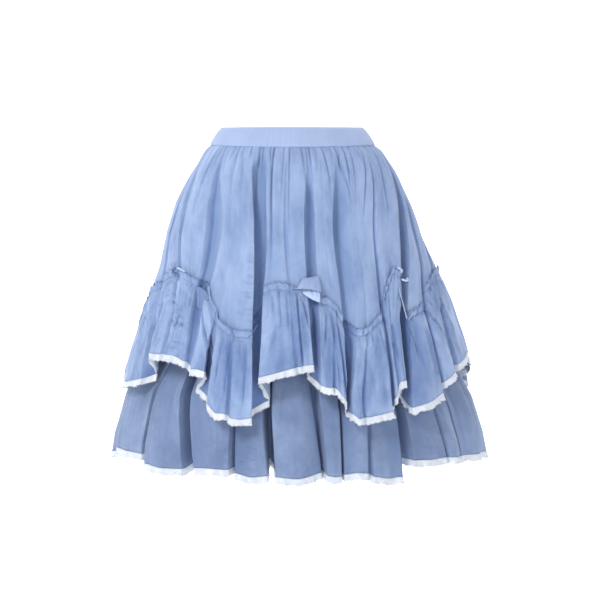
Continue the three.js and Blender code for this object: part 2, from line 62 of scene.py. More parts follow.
# Folds, in degrees from the front and mm: how tight, then angle, mouth, depth and lean at four heights, then
# the height of the cloth's edge at the fold's left edge, floor, right edge and the crest after it, and there
# the ruffle's drop, where it isn't the plain one
outerFolds = {
    "left_hip": (0.5, (-88, -78, -66, -59.5), (6, 17, 18, 12), (3, 12, 12, 20), (0, 2, 3, 9),
     (-246, -245, -236, -228), (141, 133, 111, 118)),
    "left_peak": (0.3, (-76, -63, -52, -52.5), (6, 9, 11, 9), (3, 9, 9, 8), (0, 2, 2, 2),
     (-220, -219, -221, -227), (126, 124, 124, 116)),
    "left_valley": (0.25, (-50, -38, -38.5, -37), (8, 34, 24, 12), (3, 16, 12, 8), (0, -8, -6, 0),
     (-234, -238, -242, -256), (116, 118, 119, 103)),
    "left_tuck": (1, (-39, -29, -29, -28.8), (6, 8, 12, 9), (2, 0, 2, 34), (0, 0, 0, -34),
     (-270, -280, -290, -298), (92, 110, 117, 123)),
    "left_point": (0.3, (-31, -22.5, -21.5, -20.5), (6, 7, 8, 10), (2, 0, 0, 7), (0, 0, 0, 0),
     (-302, -303, -304, -305), (119, 121, 122, 123)),
    "left_gap": (1, (-20, -14.2, -12.8, -11.6), (22, 19, 14, 8), (10, 24, 26, 28), (0, -4, -3, 16),
     (-305, -280, -240, -234), (120, 123, 127, 126)),
    "centre": (0.3, (-3, -2.8, 0, 2), (6, 8, 8, 8), (3, 5, 2, 7), (0, 0, 0, 2), (-236, -237, -239, -244),
     (117, 115, 112, 105)),
    "centre_gap": (0.7, (9.7, 7.8, 7.6, 8), (8, 16, 15, 8), (4, 14, 14, 28), (0, 2, 0, -14),
     (-246, -250, -253, -256), (102, 114, 125, 125)),
    "right_pleat": (0.3, (17.5, 14.6, 14.4, 12.8), (6, 6, 7, 7), (2, 0, 1, 6), (0, 0, 0, 0),
     (-260, -263, -266, -274), (122, 119, 118, 119)),
    "right_valley": (0.3, (29, 22.5, 20.3, 17.4), (16, 30, 25, 9), (4, 18, 15, 28), (0, -8, -6, 0),
     (-283, -292, -303, -304), (120, 126, 118, 124)),
    "right_point": (0.3, (40, 30.5, 27, 22), (6, 6, 7, 8), (3, 0, 2, 6), (0, 0, 0, 0),
     (-303, -302, -300, -288), (124, 125, 127, 136)),
    "right_edge": (0.3, (55, 40, 33.4, 32.2), (6, 8, 9, 8), (3, 5, 8, 13), (0, 0, 2, 6),
     (-284, -272, -252, -216), (137, 139, 148, 163)),
    "right_gap": (0.85, (82, 60.5, 43.3, 38), (7, 22, 18, 9), (3, 27, 34, 26), (0, 3, 4, 8),
     (-222, -256, -284, -278), (156, 154, 135, 134)),
    "right_hip": (0.5, (92, 75.5, 55.3, 55), (6, 9, 9, 8), (3, 10, 16, 18), (0, -3, -5, -8),
     (-272, -262, -248, -234), (132, 135, 141, 144)),
    "right_side": (0.3, (103, 90, 69, 66), (6, 12, 10, 9), (3, 8, 7, 12), (0, 0, 0, -4),
     (-231, -230, -229, -227), (144, 142, 139, 130)),
    "right_seam": (0.5, (115, 108, 104, 103), (6, 14, 11, 8), (3, 14, 16, 18), (0, 2, 2, 6),
     (-270, -280, -292, -303)),
    "back_right_soft": (0.3, (127, 123, 121, 121), (6, 10, 10, 9), (3, 8, 6, 12), (0, 0, 0, -4),
     (-286, -276, -262, -235)),
    "back_right_deep": (0.4, (140, 138, 138, 139), (8, 20, 15, 8), (4, 20, 22, 26), (0, -3, -3, -12),
     (-222, -224, -234, -264)),
    "back_right_point": (0.3, (154, 153, 153.5, 154), (6, 8, 9, 9), (3, 4, 5, 10), (0, 0, 0, 3),
     (-287, -294, -300, -305)),
    "back_gap": (0.9, (168, 169, 170, 170), (8, 17, 14, 8), (4, 20, 24, 27), (0, 3, 3, 13),
     (-296, -282, -258, -234)),
    "back_centre": (0.3, (183, 184, 185, 186), (6, 8, 9, 9), (3, 6, 4, 10), (0, 0, 0, 0),
     (-226, -224, -227, -241)),
    "back_left_deep": (0.3, (198, 199, 201, 202), (8, 18, 13, 8), (4, 17, 19, 26), (0, -2, -2, -10),
     (-263, -274, -288, -300)),
    "back_left_point": (0.3, (213, 215, 217, 218), (6, 8, 10, 9), (3, 6, 6, 12), (0, 0, 0, 4),
     (-304, -302, -297, -274)),
    "back_left_gap": (0.5, (230, 232, 234, 236), (8, 18, 14, 8), (4, 20, 21, 26), (0, 2, 2, 11),
     (-252, -244, -235, -224)),
    "back_left_soft": (0.3, (244, 247, 251, 254), (6, 8, 10, 9), (3, 6, 6, 11), (0, 0, 0, 0),
     (-226, -234, -244, -264)),
    "left_seam": (0.3, (257, 264, 271, 276), (6, 10, 12, 9), (3, 10, 9, 10), (0, 0, 0, -4),
     (-280, -279, -272, -256), (128, 130, 133, 142)),
}
innerFolds = [
    (0.3, (-76, -76, -75, -73), (5, 6, 8, 9), (0.6, 3, 9, 16), (0, 0, 0, 4), (-508, -503, -501, -499)),
    (0.5, (-60, -57, -55, -52.5), (5, 5, 6, 6), (0.6, 4, 14, 25), (0, 0, 4, 9), (-497, -498, -510, -511)),
    (0.5, (-42, -41, -39, -32.7), (5, 8, 16, 20), (0.6, 5, 28, 34), (0, 0, -4, -4), (-508, -501, -505, -503)),
    (0.5, (-23, -22, -20, -18), (5, 5, 6, 7), (0.6, 3, 10, 20), (0, 0, 0, 4), (-502, -500, -508, -512)),
    (0.5, (-9.5, -9, -8.5, -6), (5, 8, 15, 12), (0.6, 6, 32, 44), (0, 0, 0, -7), (-509, -492, -511, -512)),
    (0.5, (6, 6.5, 7.6, 9.2), (5, 6, 12, 8), (0.6, 4, 18, 26), (0, 0, 0, -6), (-506, -502, -509, -511)),
    (0.3, (15, 15, 15.2, 14.4), (5, 5, 5, 5), (0.6, 3, 12, 16), (0, 0, 0, 3), (-511, -508, -510, -507)),
    (0.3, (23, 23, 24, 22.6), (5, 5, 8, 10), (0.6, 3, 6, 10), (0, 0, 0, 0), (-509, -511, -514, -519)),
    (0.5, (38, 37.5, 36, 35.2), (5, 8, 16, 22), (0.6, 7, 34, 48), (0, 0, 0, -8), (-519, -494, -497, -500)),
    (0.3, (50, 50, 50, 52), (5, 5, 5, 6), (0.6, 3, 6, 10), (0, 0, 0, 0), (-501, -501, -501, -503)),
    (0.5, (60, 60, 59.5, 60), (5, 5, 6, 6), (0.6, 3, 10, 16), (0, 0, 0, -4), (-505, -505, -505, -508)),
    (0.5, (78, 78, 79, 79), (5, 6, 8, 10), (0.6, 4, 12, 22), (0, 0, 0, 5), (-513, -513, -515, -523)),
    (0.5, (104, 104, 104, 103), (5, 6, 10, 12), (0.6, 5, 20, 30), (0, 0, 0, -6), (-523, -517, -522, -526)),
    (0.3, (121, 121, 121, 121), (5, 5, 7, 8), (0.6, 3, 9, 16), (0, 0, 0, 3), (-524, -521, -523, -527)),
    (0.5, (138, 138, 138, 140), (5, 8, 15, 14), (0.6, 6, 30, 38), (0, 0, 0, -6), (-524, -512, -522, -526)),
    (0.3, (154, 154, 154, 155), (5, 5, 7, 8), (0.6, 3, 9, 17), (0, 0, 0, 3), (-524, -520, -522, -525)),
    (0.5, (170, 170, 170, 171), (5, 8, 15, 13), (0.6, 6, 32, 40), (0, 0, 0, 6), (-522, -508, -520, -524)),
    (0.3, (187, 187, 187, 188), (5, 5, 8, 9), (0.6, 3, 10, 18), (0, 0, 0, -3), (-522, -519, -522, -525)),
    (0.5, (202, 202, 202, 203), (5, 7, 13, 12), (0.6, 5, 27, 34), (0, 0, 0, -5), (-523, -512, -521, -525)),
    (0.3, (219, 219, 219, 220), (5, 5, 7, 8), (0.6, 3, 10, 17), (0, 0, 0, 3), (-523, -520, -522, -524)),
    (0.5, (235, 235, 236, 238), (5, 8, 15, 13), (0.6, 6, 30, 36), (0, 0, 0, 6), (-520, -508, -518, -522)),
    (0.3, (252, 252, 253, 254), (5, 5, 7, 8), (0.6, 3, 10, 17), (0, 0, 0, -3), (-521, -517, -519, -521)),
    (0.5, (267, 268, 269, 270), (5, 6, 9, 9), (0.6, 4, 14, 23), (0, 0, 0, 4), (-519, -514, -516, -515)),
]

# What all folds share, in mm: where the band's grip ends and how far below it they open, how far the cloth
# between them bulges, the depths over which their walls grow steep and tuck under, and how ragged a tuck is
cloth = {
    "wall": 0.7, "grip": -30, "opening": 34, "crown": 0.05, "steep": (4, 14), "tuck": (8, 26),
    "ragged": ((0.09, 0.8, 0), (0.07, 2.1, 1)), "sewnLower": 5, "hemLower": 2, "plainDrop": 127,
}


def smooth(x, low, high):
    t = np.clip((x - low) / (high - low), 0, 1)
    return t * t * (3 - 2 * t)


# 1 where something is, falling off on both sides of it
def bell(away, reach):
    return np.exp(-((away / reach) ** 2))


# The angle of points round the skirt, in degrees from the front
def angleOf(points):
    return np.degrees(np.arctan2(points[..., 0], -points[..., 1]))


# A value from a table of four, eased from each to the next
def eased(values, level):
    i = np.clip(np.floor(level), 0, 2).astype(int)
    t = smooth(level - i, 0, 1)
    start = np.take_along_axis(values, i.T, 1).T
    end = np.take_along_axis(values, i.T + 1, 1).T
    return start + (end - start) * t


# The same on one smooth curve through the four
def along(values, level):
    x = np.clip(level, 0, 3)
    i = np.minimum(np.floor(x), 2).astype(int)
    t = x - i
    a, b, c, d = [np.take_along_axis(values, np.clip(i.T + k, 0, 3), 1).T for k in (-1, 0, 1, 2)]
    return b + 0.5 * t * (c - a + t * (2 * a - 5 * b + 4 * c - d + t * (3 * (b - c) + d - a)))


# A point of the figure at an angle in radians and a height, moved out and sideways
def figurePoint(figure, angle, z, out, aside):
    rows = np.array(figure, float)[::-1]
    left, right, front, back = [np.interp(z, rows[:, 0], rows[:, k]) for k in (1, 2, 3, 4)]
    sin, cos = np.sin(angle), np.cos(angle)
    a, b = np.where(sin > 0, right, left), np.where(cos > 0, front, back)
    nx, ny = sin / a, -cos / b
    size = np.hypot(nx, ny)
    nx, ny = nx / size, ny / size
    return np.stack([a * sin + nx * out - ny * aside, -b * cos + ny * out + nx * aside, z + 0 * angle], -1)


# A folded tube of cloth: its table and its columns, close enough together for the folds' curves
class Tube:
    def __init__(self, figure, levels, rows, pitch, overhang):
        self.figure, self.levels, self.overhang = figure, np.array(levels, float), np.array(overhang, float)
        self.table = {key: np.array([row[k + 1] for row in rows], float)
                      for k, key in enumerate(("at", "mouth", "depth", "lean", "edge"))}
        self.drops = np.array([row[6] if len(row) > 6 else (cloth["plainDrop"],) * 4 for row in rows], float)
        self.tight = np.array([row[0] for row in rows], float)
        widest = figure[-1]
        radius = sum(widest[1:]) / 4
        at, mouth, depth = self.table["at"], self.table["mouth"], self.table["depth"]
        turn = (np.roll(at, -1, 0) - at) % 360
        fold, p, q = [], [], []
        for i in range(len(rows)):
            across = int(np.ceil((mouth[i] + 1.7 * depth[i]).max() / pitch))
            steps = int(np.ceil(max(turn[i].max() * degree * radius - mouth[i].min(), 8) / pitch))
            fold += [i] * (across + steps)
            p += list(-1 + 2 * np.arange(across) / across) + [0] * steps
            q += [-1] * across + list(np.arange(steps) / steps)
        self.fold, self.p, self.q = np.array(fold), np.array(p), np.array(q)
        self.inFold = self.q < 0
        self.next = (self.fold + 1) % len(rows)
        self.count = len(fold)
        print("tube of", self.count, "columns")

    # The height or drop of the edge at every column
    def edge(self, values):
        here, after = values[self.fold], values[self.next]
        p, q = self.p, self.q
        left = here[:, 0] + (here[:, 1] - here[:, 0]) * smooth(p + 1, 0.2, 1)
        right = here[:, 1] + (here[:, 2] - here[:, 1]) * smooth(p, 0, 0.8)
        early = here[:, 2] + (here[:, 3] - here[:, 2]) * 2 * q
        late = here[:, 3] + (after[:, 0] - here[:, 3]) * (2 * q - 1)
        value = np.where(self.inFold, np.where(p < 0, left, right), np.where(q < 0.5, early, late))
        for _ in range(3):
            value = (np.roll(value, 1) + 2 * value + np.roll(value, -1)) / 4
        return value

    # Points in mm at heights z, an array of rows by columns, lifted by out, round the tube at angles in
    # radians that the folds give
    def surface(self, z, out=0):
        level = np.interp(-z, -self.levels, np.arange(4.0))
        rows = np.array(self.figure, float)[::-1]
        radius = np.interp(z, rows[:, 0], rows[:, 1:].mean(1))
        free = smooth(cloth["grip"] - z, 0, cloth["opening"])
        here = {key: self.table[key][self.fold] for key in ("at", "mouth", "depth", "lean")}
        after = {key: self.table[key][self.next] for key in ("at", "mouth", "depth")}
        turn = np.where(self.next < self.fold, 360, 0)
        at = along(here["at"], level) * degree
        mouth, depth, lean = [eased(here[key], level) for key in ("mouth", "depth", "lean")]
        depth = depth * free
        start = at + mouth / 2 / radius
        end = (along(after["at"], level) + turn) * degree - eased(after["mouth"], level) / 2 / radius
        nextDepth = eased(after["depth"], level) * free
        crown = cloth["crown"] * np.minimum(np.minimum((end - start) * radius, 4 * depth), 4 * nextDepth)
        q, p = np.maximum(self.q, 0), self.p
        shape = (1 - p * p) ** 2
        steep = self.tight[self.fold] * smooth(depth, *cloth["steep"])
        aside = 0.5 * mouth * p * (1 + steep * (1 - p * p)) + lean * shape ** 2.2 * free
        # a fold's left wall turned back under the stretch before it
        tucked = np.where(p < 0, np.sin(math.pi * (p + 1)) ** 2, 0) * smooth(depth, *cloth["tuck"])
        ragged = 1 + sum(size * np.sin(pace * z + start) for size, pace, start in cloth["ragged"])
        aside = aside - self.overhang[self.fold] * tucked * ragged
        angle = np.where(self.inFold, at, start + (end - start) * q)
        lift = np.where(self.inFold, -depth * shape, crown * np.sin(math.pi * q) ** 2)
        # painted shade amount: how deep each point lies in its fold, plus three for every mm it is pressed
        # in; the finishes darken colour by it
        self.hollow = np.where(self.inFold, depth * shape, 0) + np.maximum(-3 * (out + 0 * z), 0)
        return figurePoint(self.figure, angle, z, lift + out, np.where(self.inFold, aside, 0))


# Unit normals of a grid of points, pointing out of the tube
def normalsOf(points, closed=True):
    across = np.roll(points, -1, 1) - np.roll(points, 1, 1) if closed else np.gradient(points, axis=1)
    normal = np.cross(np.gradient(points, axis=0), across)
    return normal / np.maximum(np.linalg.norm(normal, axis=-1, keepdims=True), 1e-9)


# The distance along a closed row of points, in mm, and its whole length
def arcOf(row):
    steps = np.linalg.norm(np.roll(row, -1, 0) - row, axis=1)
    return np.concatenate([[0], np.cumsum(steps)[:-1]]), steps.sum()


# Waves of one cloth's own uneven gathers: each crest has its place, height, width and reach
def gathers(arc, whole, below, pitch, height, reach, seed):
    own = np.random.default_rng(seed)
    total, at = np.zeros(below.shape), 0.0
    while at < whole:
        step = own.uniform(*pitch)
        size, far, drift = own.uniform(*height), own.uniform(*reach), own.uniform(-0.12, 0.12)
        away = (arc[None, :] - at - drift * below + whole / 2) % whole - whole / 2
        near = bell(away, 0.33 * step) - 0.45 * bell(away, 0.7 * step)
        x = np.maximum(below, 0) / far
        total += size * near * x * np.exp(1 - x)
        at += step
    return total


# Soft dents that no two stretches share
def dents(arc, whole, z, width, length, height, seed, count=26):
    own = np.random.default_rng(seed)
    total = np.zeros(z.shape)
    for _ in range(count):
        turns = max(1, round(whole / own.uniform(*width)))
        fall = own.uniform(-1, 1) * 2 * math.pi / own.uniform(*length)
        turned = 2 * math.pi * turns * arc[None, :] / whole
        total += own.uniform(0.4, 1) * np.sin(turned + fall * z + own.uniform(0, 6.3))
    return height * total / math.sqrt(count / 2)


def placed(name, data):
    piece = bpy.data.objects.new(name, data)
    bpy.context.scene.collection.objects.link(piece)
    return piece


# A smooth object from plain vertices in metres and faces
def plainPiece(name, vertices, faces, material):
    mesh = bpy.data.meshes.new(name)
    mesh.from_pydata(vertices, [], faces)
    mesh.polygons.foreach_set("use_smooth", np.ones(len(faces), bool))
    mesh.materials.append(material)
    return placed(name, mesh)


# The faces' UV in metres, u round the cloth and v up it
def clothUV(points, faces):
    rows, cols = points.shape[:2]
    arc = np.concatenate([[0], np.cumsum(np.linalg.norm(np.diff(points[rows // 2], axis=0), axis=1))])
    fall = np.concatenate([[0], np.cumsum(np.linalg.norm(np.diff(points, axis=0), axis=2).mean(1))])
    at = faces.ravel() % (rows * cols)
    uv = np.stack([np.tile(arc, rows)[at], np.repeat(-fall, cols)[at]], -1).reshape(-1, 4, 2) * mm
    u, half = uv[:, :, 0], 0.5 * arc.max() * mm
    wrapped = u.max(1) - u.min(1) > half
    u += np.where(wrapped[:, None] & (u < half), 2 * half, 0)
    return uv.astype(np.float32)


# A thin closed shell of cloth from rows of outer points, with its wrong side marked
def shell(name, points, material, wall, hollow=None, closed=True, crumple=None):
    rows, cols = points.shape[:2]
    inside = points - normalsOf(points, closed) * wall
    vertices = np.concatenate([points.reshape(-1, 3), inside.reshape(-1, 3)]) * mm
    wrap = cols if closed else cols - 1
    r, c = np.meshgrid(np.arange(rows - 1), np.arange(wrap), indexing="ij")
    n = (c + 1) % cols
    outer = np.stack([r * cols + c, (r + 1) * cols + c, (r + 1) * cols + n, r * cols + n], -1).reshape(-1, 4)
    back = outer[:, ::-1] + rows * cols
    c1 = np.arange(wrap)
    n1 = (c1 + 1) % cols
    base, low = rows * cols, (rows - 1) * cols
    top = np.stack([c1, n1, n1 + base, c1 + base], -1)
    bottom = np.stack([low + c1, low + c1 + base, low + n1 + base, low + n1], -1)
    faces = [outer, back, top, bottom]
    if not closed:
        r1 = np.arange(rows - 1) * cols
        end = r1 + cols - 1
        faces.append(np.stack([r1, r1 + base, r1 + cols + base, r1 + cols], -1))
        faces.append(np.stack([end, end + cols, end + cols + base, end + base], -1))
    counts = [len(part) for part in faces]
    faces = np.concatenate(faces)
    mesh = bpy.data.meshes.new(name)
    mesh.vertices.add(len(vertices))
    mesh.vertices.foreach_set("co", vertices.ravel())
    mesh.loops.add(faces.size)
    mesh.loops.foreach_set("vertex_index", faces.ravel().astype(np.int32))
    mesh.polygons.add(len(faces))
    mesh.polygons.foreach_set("loop_start", np.arange(0, faces.size, 4, dtype=np.int32))
    mesh.update(calc_edges=True)
    mesh.polygons.foreach_set("use_smooth", np.ones(len(faces), bool))
    wrong = np.zeros(len(faces), np.float32)
    wrong[counts[0]:counts[0] + counts[1]] = 1
    mesh.attributes.new("wrongSide", "FLOAT", "FACE").data.foreach_set("value", wrong)
    # each point's painted shade amount and how crumpled it is go onto the mesh for the finish to read
    for label, values in (("hollow", hollow), ("crumple", crumple)):
        if values is not None:
            mesh.attributes.new(label, "FLOAT", "POINT").data.foreach_set(
                "value", np.tile(values.ravel(), 2).astype(np.float32))
    mesh.uv_layers.new(name="clothUV").data.foreach_set("uv", clothUV(points, faces).ravel())
    mesh.materials.append(material)
    return placed(name, mesh)


triangles = {}


def declare(piece, nodes):
    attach(piece, "root")
    if nodes:
        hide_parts(*nodes)
    triangles[piece.name] = sum(len(face.vertices) - 2 for face in piece.data.polygons)
    area = sum(face.area for face in piece.data.polygons) / 2
    print(piece.name, triangles[piece.name], "triangles, area", round(area, 3))


subtract = {"operation": "SUBTRACT"}


# A socket of a material, from which arithmetic makes further nodes
class Value:
    def __init__(self, tree, socket):
        self.tree, self.socket = tree, socket

    def math(self, operation, *others):
        return self.tree.node("ShaderNodeMath", {"operation": operation}, [self, *others])

    def __add__(self, other): return self.math("ADD", other)
    def __sub__(self, other): return self.math("SUBTRACT", other)
    def __rsub__(self, other): return self.tree.node("ShaderNodeMath", subtract, (other, self))
    def __mul__(self, other): return self.math("MULTIPLY", other)
    def __rmul__(self, other): return self.math("MULTIPLY", other)


class Finish:
    def __init__(self, name, roughness, sheen=0.0):
        self.material = bpy.data.materials.new(name)
        self.material.use_nodes = True
        self.nodes, self.links = self.material.node_tree.nodes, self.material.node_tree.links
        self.bsdf = self.nodes["Principled BSDF"]
        self.bsdf.inputs["Roughness"].default_value = roughness
        self.bsdf.inputs["Sheen Weight"].default_value = sheen
        self.bsdf.inputs["Sheen Roughness"].default_value = 0.6
        self.bsdf.inputs["Specular IOR Level"].default_value = 0.25

    # A node of a type, with its settings and its sockets by number or name; the result is one of its outputs
    def node(self, kind, settings=None, values=(), output=0):
        node = self.nodes.new(kind)
        for key, value in (settings or {}).items():
            setattr(node, key, value)
        pairs = values.items() if isinstance(values, dict) else enumerate(values)
        for key, value in pairs:
            self.feed(node.inputs[key], value)
        return Value(self, node.outputs[output])

    def feed(self, socket, value):
        if isinstance(value, Value):
            self.links.new(value.socket, socket)
        elif hasattr(value, "__len__"):
            opaque = (1,) if len(value) == 3 and len(socket.default_value) == 4 else ()
            socket.default_value = tuple(value) + opaque
        else:
            socket.default_value = value

    def uv(self, scale=(1, 1, 1)):
        place = self.node("ShaderNodeUVMap", {"uv_map": "clothUV"})
        return self.node("ShaderNodeMapping", {}, {"Vector": place, "Scale": scale})

    def noise(self, vector, scale, detail=2.0, rough=0.5):
        return self.node("ShaderNodeTexNoise", {},
                         {"Vector": vector, "Scale": scale, "Detail": detail, "Roughness": rough})

    def mix(self, factor, a, b):
        return self.node("ShaderNodeMix", {"data_type": "RGBA"}, {0: factor, 6: a, 7: b}, output=2)

    def range(self, value, low, high, start, end):
        return self.node("ShaderNodeMapRange", {}, [value, low, high, start, end])

    # A value that the cloth's mesh carries
    def carried(self, label):
        return self.node("ShaderNodeAttribute", {"attribute_name": label}, output=2)

    def colour(self, value):
        self.feed(self.bsdf.inputs["Base Color"], value)

    def relief(self, height, strength, distance):
        bump = self.node("ShaderNodeBump", {}, {"Strength": strength, "Distance": distance, "Height": height})
        self.feed(self.bsdf.inputs["Normal"], bump)


# Looks: colours in the light, in shade and inside out, the painted shade colour deep in a fold and how far
# that painted shade goes, then how much each kind of relief is
cottonLook = {
    "light": (0.33, 0.435, 0.665), "shade": (0.2, 0.29, 0.505), "wrong": (0.24, 0.30, 0.44),
    "paintedShadeColour": (0.18, 0.28, 0.5), "sunkShade": 0.56, "crinkle": 0.65, "weave": 900.0, "streaks": 0.16,
}
# the underskirt's cotton is greyer and darker: partly its own tone, partly painted shade from the tiers above
underLook = {
    "light": (0.235, 0.318, 0.508), "shade": (0.144, 0.202, 0.353), "wrong": (0.19, 0.235, 0.34),
    "paintedShadeColour": (0.135, 0.205, 0.38), "sunkShade": 0.62, "crinkle": 0.75, "weave": 900.0, "streaks": 0.1,
}


# Painted shade: sunken cloth is darkened towards the painted shade colour, and crumpled cloth has short
# puckers, dented and darkened with painted shade
def cottonFinish(name, look):
    finish = Finish(name, 0.86, 0.15)
    streaks = finish.noise(finish.uv((1, 0.15, 1)), 190, 3, 0.6)
    patches = finish.noise(finish.uv((1, 0.6, 1)), 15, 5, 0.66)
    creases = finish.node(
        "ShaderNodeTexNoise", {"noise_type": "RIDGED_MULTIFRACTAL"},
        {"Vector": finish.uv((1, 0.55, 1)), "Scale": 30, "Detail": 3, "Roughness": 0.55, "Distortion": 0.4})
    places = finish.range(finish.noise(finish.uv(), 9, 1), 0.5, 0.62, 0, 1)
    crosswise = places * finish.noise(finish.uv((0.3, 1, 1)), 210, 2, 0.5)
    weave = finish.noise(finish.uv(), look["weave"], 1, 0.4)
    tone = finish.range(look["streaks"] * streaks + (1 - look["streaks"]) * patches, 0.37, 0.63, 0, 1)
    cotton = finish.mix(tone, look["shade"], look["light"])
    # painted shade, darker the more painted shade amount the mesh carries
    cotton = finish.mix(finish.range(finish.carried("hollow"), 1, 15, 0, look["sunkShade"]), cotton, look["paintedShadeColour"])
    crumple = finish.carried("crumple")
    pucker = finish.noise(finish.uv((0.3, 1, 1)), 190, 3, 0.6)
    # puckers of crumpled cloth: dents in the bump, and painted shade in the colour
    shadedPuckers = crumple * finish.range(pucker, 0.54, 0.62, 0, 1)
    cotton = finish.mix(0.5 * shadedPuckers, cotton, look["paintedShadeColour"])
    finish.colour(finish.mix(finish.carried("wrongSide"), cotton, look["wrong"]))
    height = 0.35 * creases + 0.6 * crosswise + 0.75 * look["streaks"] * streaks + 0.06 * weave
    finish.relief(height + crumple * pucker - 0.5 * shadedPuckers, look["crinkle"], 0.0016)
    return finish.material


bandLook = {"base": (0.37, 0.465, 0.69), "rib": (0.33, 0.42, 0.645)}
laceLook = {"bright": (0.93, 0.94, 0.95), "dull": (0.62, 0.67, 0.76), "cells": 2.2 / 0.0062}


def bandFinish():
    finish = Finish("coveredElastic", 0.8, 0.1)
    ribs = finish.noise(finish.uv((1, 0.02, 1)), 420, 1, 0.4)
    patches = finish.noise(finish.uv(), 30, 2, 0.5)
    tone = finish.range(0.6 * ribs + 0.4 * patches, 0.35, 0.65, 0, 1)
    finish.colour(finish.mix(tone, bandLook["rib"], bandLook["base"]))
    finish.relief(ribs, 0.25, 0.001)
    return finish.material


def laceFinish():
    finish = Finish("cottonLace", 0.85, 0.1)
    threads = finish.noise(finish.uv(), 700, 2, 0.6)
    cells = finish.node("ShaderNodeTexVoronoi", {"feature": "DISTANCE_TO_EDGE"},
                        {"Vector": finish.uv(), "Scale": laceLook["cells"]})
    holes = finish.range(cells, 0.28, 0.36, 0, 1)
    patches = finish.noise(finish.uv((1, 0.4, 1)), 60, 2, 0.5)
    tone = finish.range(0.6 * patches + 0.4 * holes, 0.3, 0.58, 0, 1)
    finish.colour(finish.mix(tone, laceLook["dull"], laceLook["bright"]))
    finish.relief(0.5 * threads + 0.8 * (1 - holes), 0.6, 0.0008)
    return finish.material


ruffleLook = {
    **cottonLook, "light": (0.315, 0.42, 0.655), "shade": (0.163, 0.248, 0.45), "paintedShadeColour": (0.07, 0.14, 0.35),
    "sunkShade": 0.68, "streaks": 0.06, "crinkle": 0.9,
}
cotton, ruffleCotton, underCotton = [cottonFinish(name, look) for name, look in (
    ("crinkledCotton", cottonLook), ("ruffleCotton", ruffleLook), ("underskirtCotton", underLook))]
elastic, laceCotton = bandFinish(), laceFinish()
print("materials made")

overhangs = {"left_gap": 10, "centre_gap": 5, "right_gap": 6, "back_gap": 6, "back_left_gap": 4}
outer = Tube(outerFigure, [-32, -150, -270, -400], list(outerFolds.values()), 2.75,
             [overhangs.get(name, 0) for name in outerFolds])
inner = Tube(innerFigure, [-32, -262, -400, -512], innerFolds, 2.85, [0] * len(innerFolds))
outer.table["edge"] -= cloth["sewnLower"]
outer.drops -= cloth["sewnLower"]
inner.table["edge"] -= cloth["hemLower"]

# The overskirt: dents and gathers by their width, length or reach and height in mm; crumpled places by their
# angles, their heights and how much; and lines of painted shade, which darken colour only, under their width
# in mm, by the angle and height where each starts and ends and how dark it is
overskirtPlan = {
    "top": -20, "rows": 44, "heading": 9,
    "soft": {"width": (30, 80), "length": (60, 240), "height": 1.1, "seed": 3},
    "fine": {"width": (7, 16), "length": (60, 300), "height": 0.16, "seed": 4},
    "gathers": {"pitch": (9, 15), "height": (0.5, 1.2), "reach": (14, 30), "seed": 5},
    "crumpled": [
        (-25, -13, -330, -140, 1), (-34, -24, -330, -240, 0.5), (-48, -34, -260, -215, 0.5),
        (28, 45, -320, -215, 0.5), (150, 158, -330, -200, 0.8), (205, 222, -330, -230, 0.8),
    ],
    "shaded": {22: [(-8, -90, -8, -250, 14), (1.5, -130, 1.5, -250, 18), (21, -140, 21, -260, 9)],
               10: [(48.3, -190, 47.8, -330, 14), (-43, -150, -40, -250, 5), (56, -150, 60, -250, 6)]},
    "back": (86, 276),  # the angles between which the gathers under the band are drawn at random
    # and the others: angle, length, depth and narrowness
    "creases": [
        (-78, 40, 2.0, 1.2), (-70, 62, 2.2, 1.6), (-61.8, 95, 4.0, 1.1), (-58, 22, 3.0, 0.9),
        (-50, 70, 1.6, 2.4), (-45.6, 26, 2.6, 0.9), (-42, 64, 3.2, 1.2), (-38.7, 52, 3.2, 1.0),
        (-31.7, 16, 2.8, 0.9), (-27.3, 150, 4.5, 1.1), (-22.3, 40, 3.4, 1.0), (-17.6, 34, 3.2, 1.0),
        (-14.3, 190, 4.8, 1.1), (-9.8, 24, 2.2, 1.2), (-6.5, 80, 2.6, 1.6), (-2, 140, 4.6, 1.0),
        (7, 90, 3.2, 1.3), (11, 22, 2.2, 1.0), (13.6, 64, 3.6, 1.1), (19, 36, 1.8, 1.8), (23.8, 66, 3.6, 1.0),
        (30.4, 26, 3.0, 0.9), (34.2, 84, 4.6, 1.0), (37.2, 22, 2.4, 0.9), (40.8, 62, 4.4, 1.0),
        (46, 50, 1.8, 2.0), (51, 26, 3.0, 1.0), (55.3, 110, 4.6, 1.1), (61, 40, 2.2, 1.6),
        (67.4, 100, 3.8, 1.2), (73, 40, 2.2, 1.2), (80, 70, 2.6, 1.4),
    ],
}


# Gathers pressed into the cloth under the band, each following its own threads down
def waistGathers(tube, z):
    angle = angleOf(tube.surface(np.full((1, tube.count), -60.0))[0])
    own = np.random.default_rng(7)
    creases = list(overskirtPlan["creases"])
    at, last = overskirtPlan["back"]
    while at < last:
        creases.append((at, own.choice([24, 36, 60, 100, 170]), own.uniform(2, 4.6), own.uniform(0.9, 2)))
        at += own.uniform(3, 8.5)
    total = np.zeros(z.shape)
    below = cloth["grip"] - z
    for place, length, depth, narrow in creases:
        slant = own.uniform(-0.2, 0.2) if length < 120 else own.uniform(-0.03, 0.03)
        away = ((angle - place + 180) % 360 - 180)[None, :] * degree * 130 - slant * np.maximum(below, 0)
        width = 1.3 * narrow * (1 + 0.008 * np.maximum(below, 0))
        fade = smooth(below, -3, 3) * (1 - smooth(below, 0.35 * length, 1.25 * length))
        total += 1.75 * depth * fade * (0.5 * bell(away, 4 * width) - 1.2 * np.exp(-np.abs(away) / width))
    return total


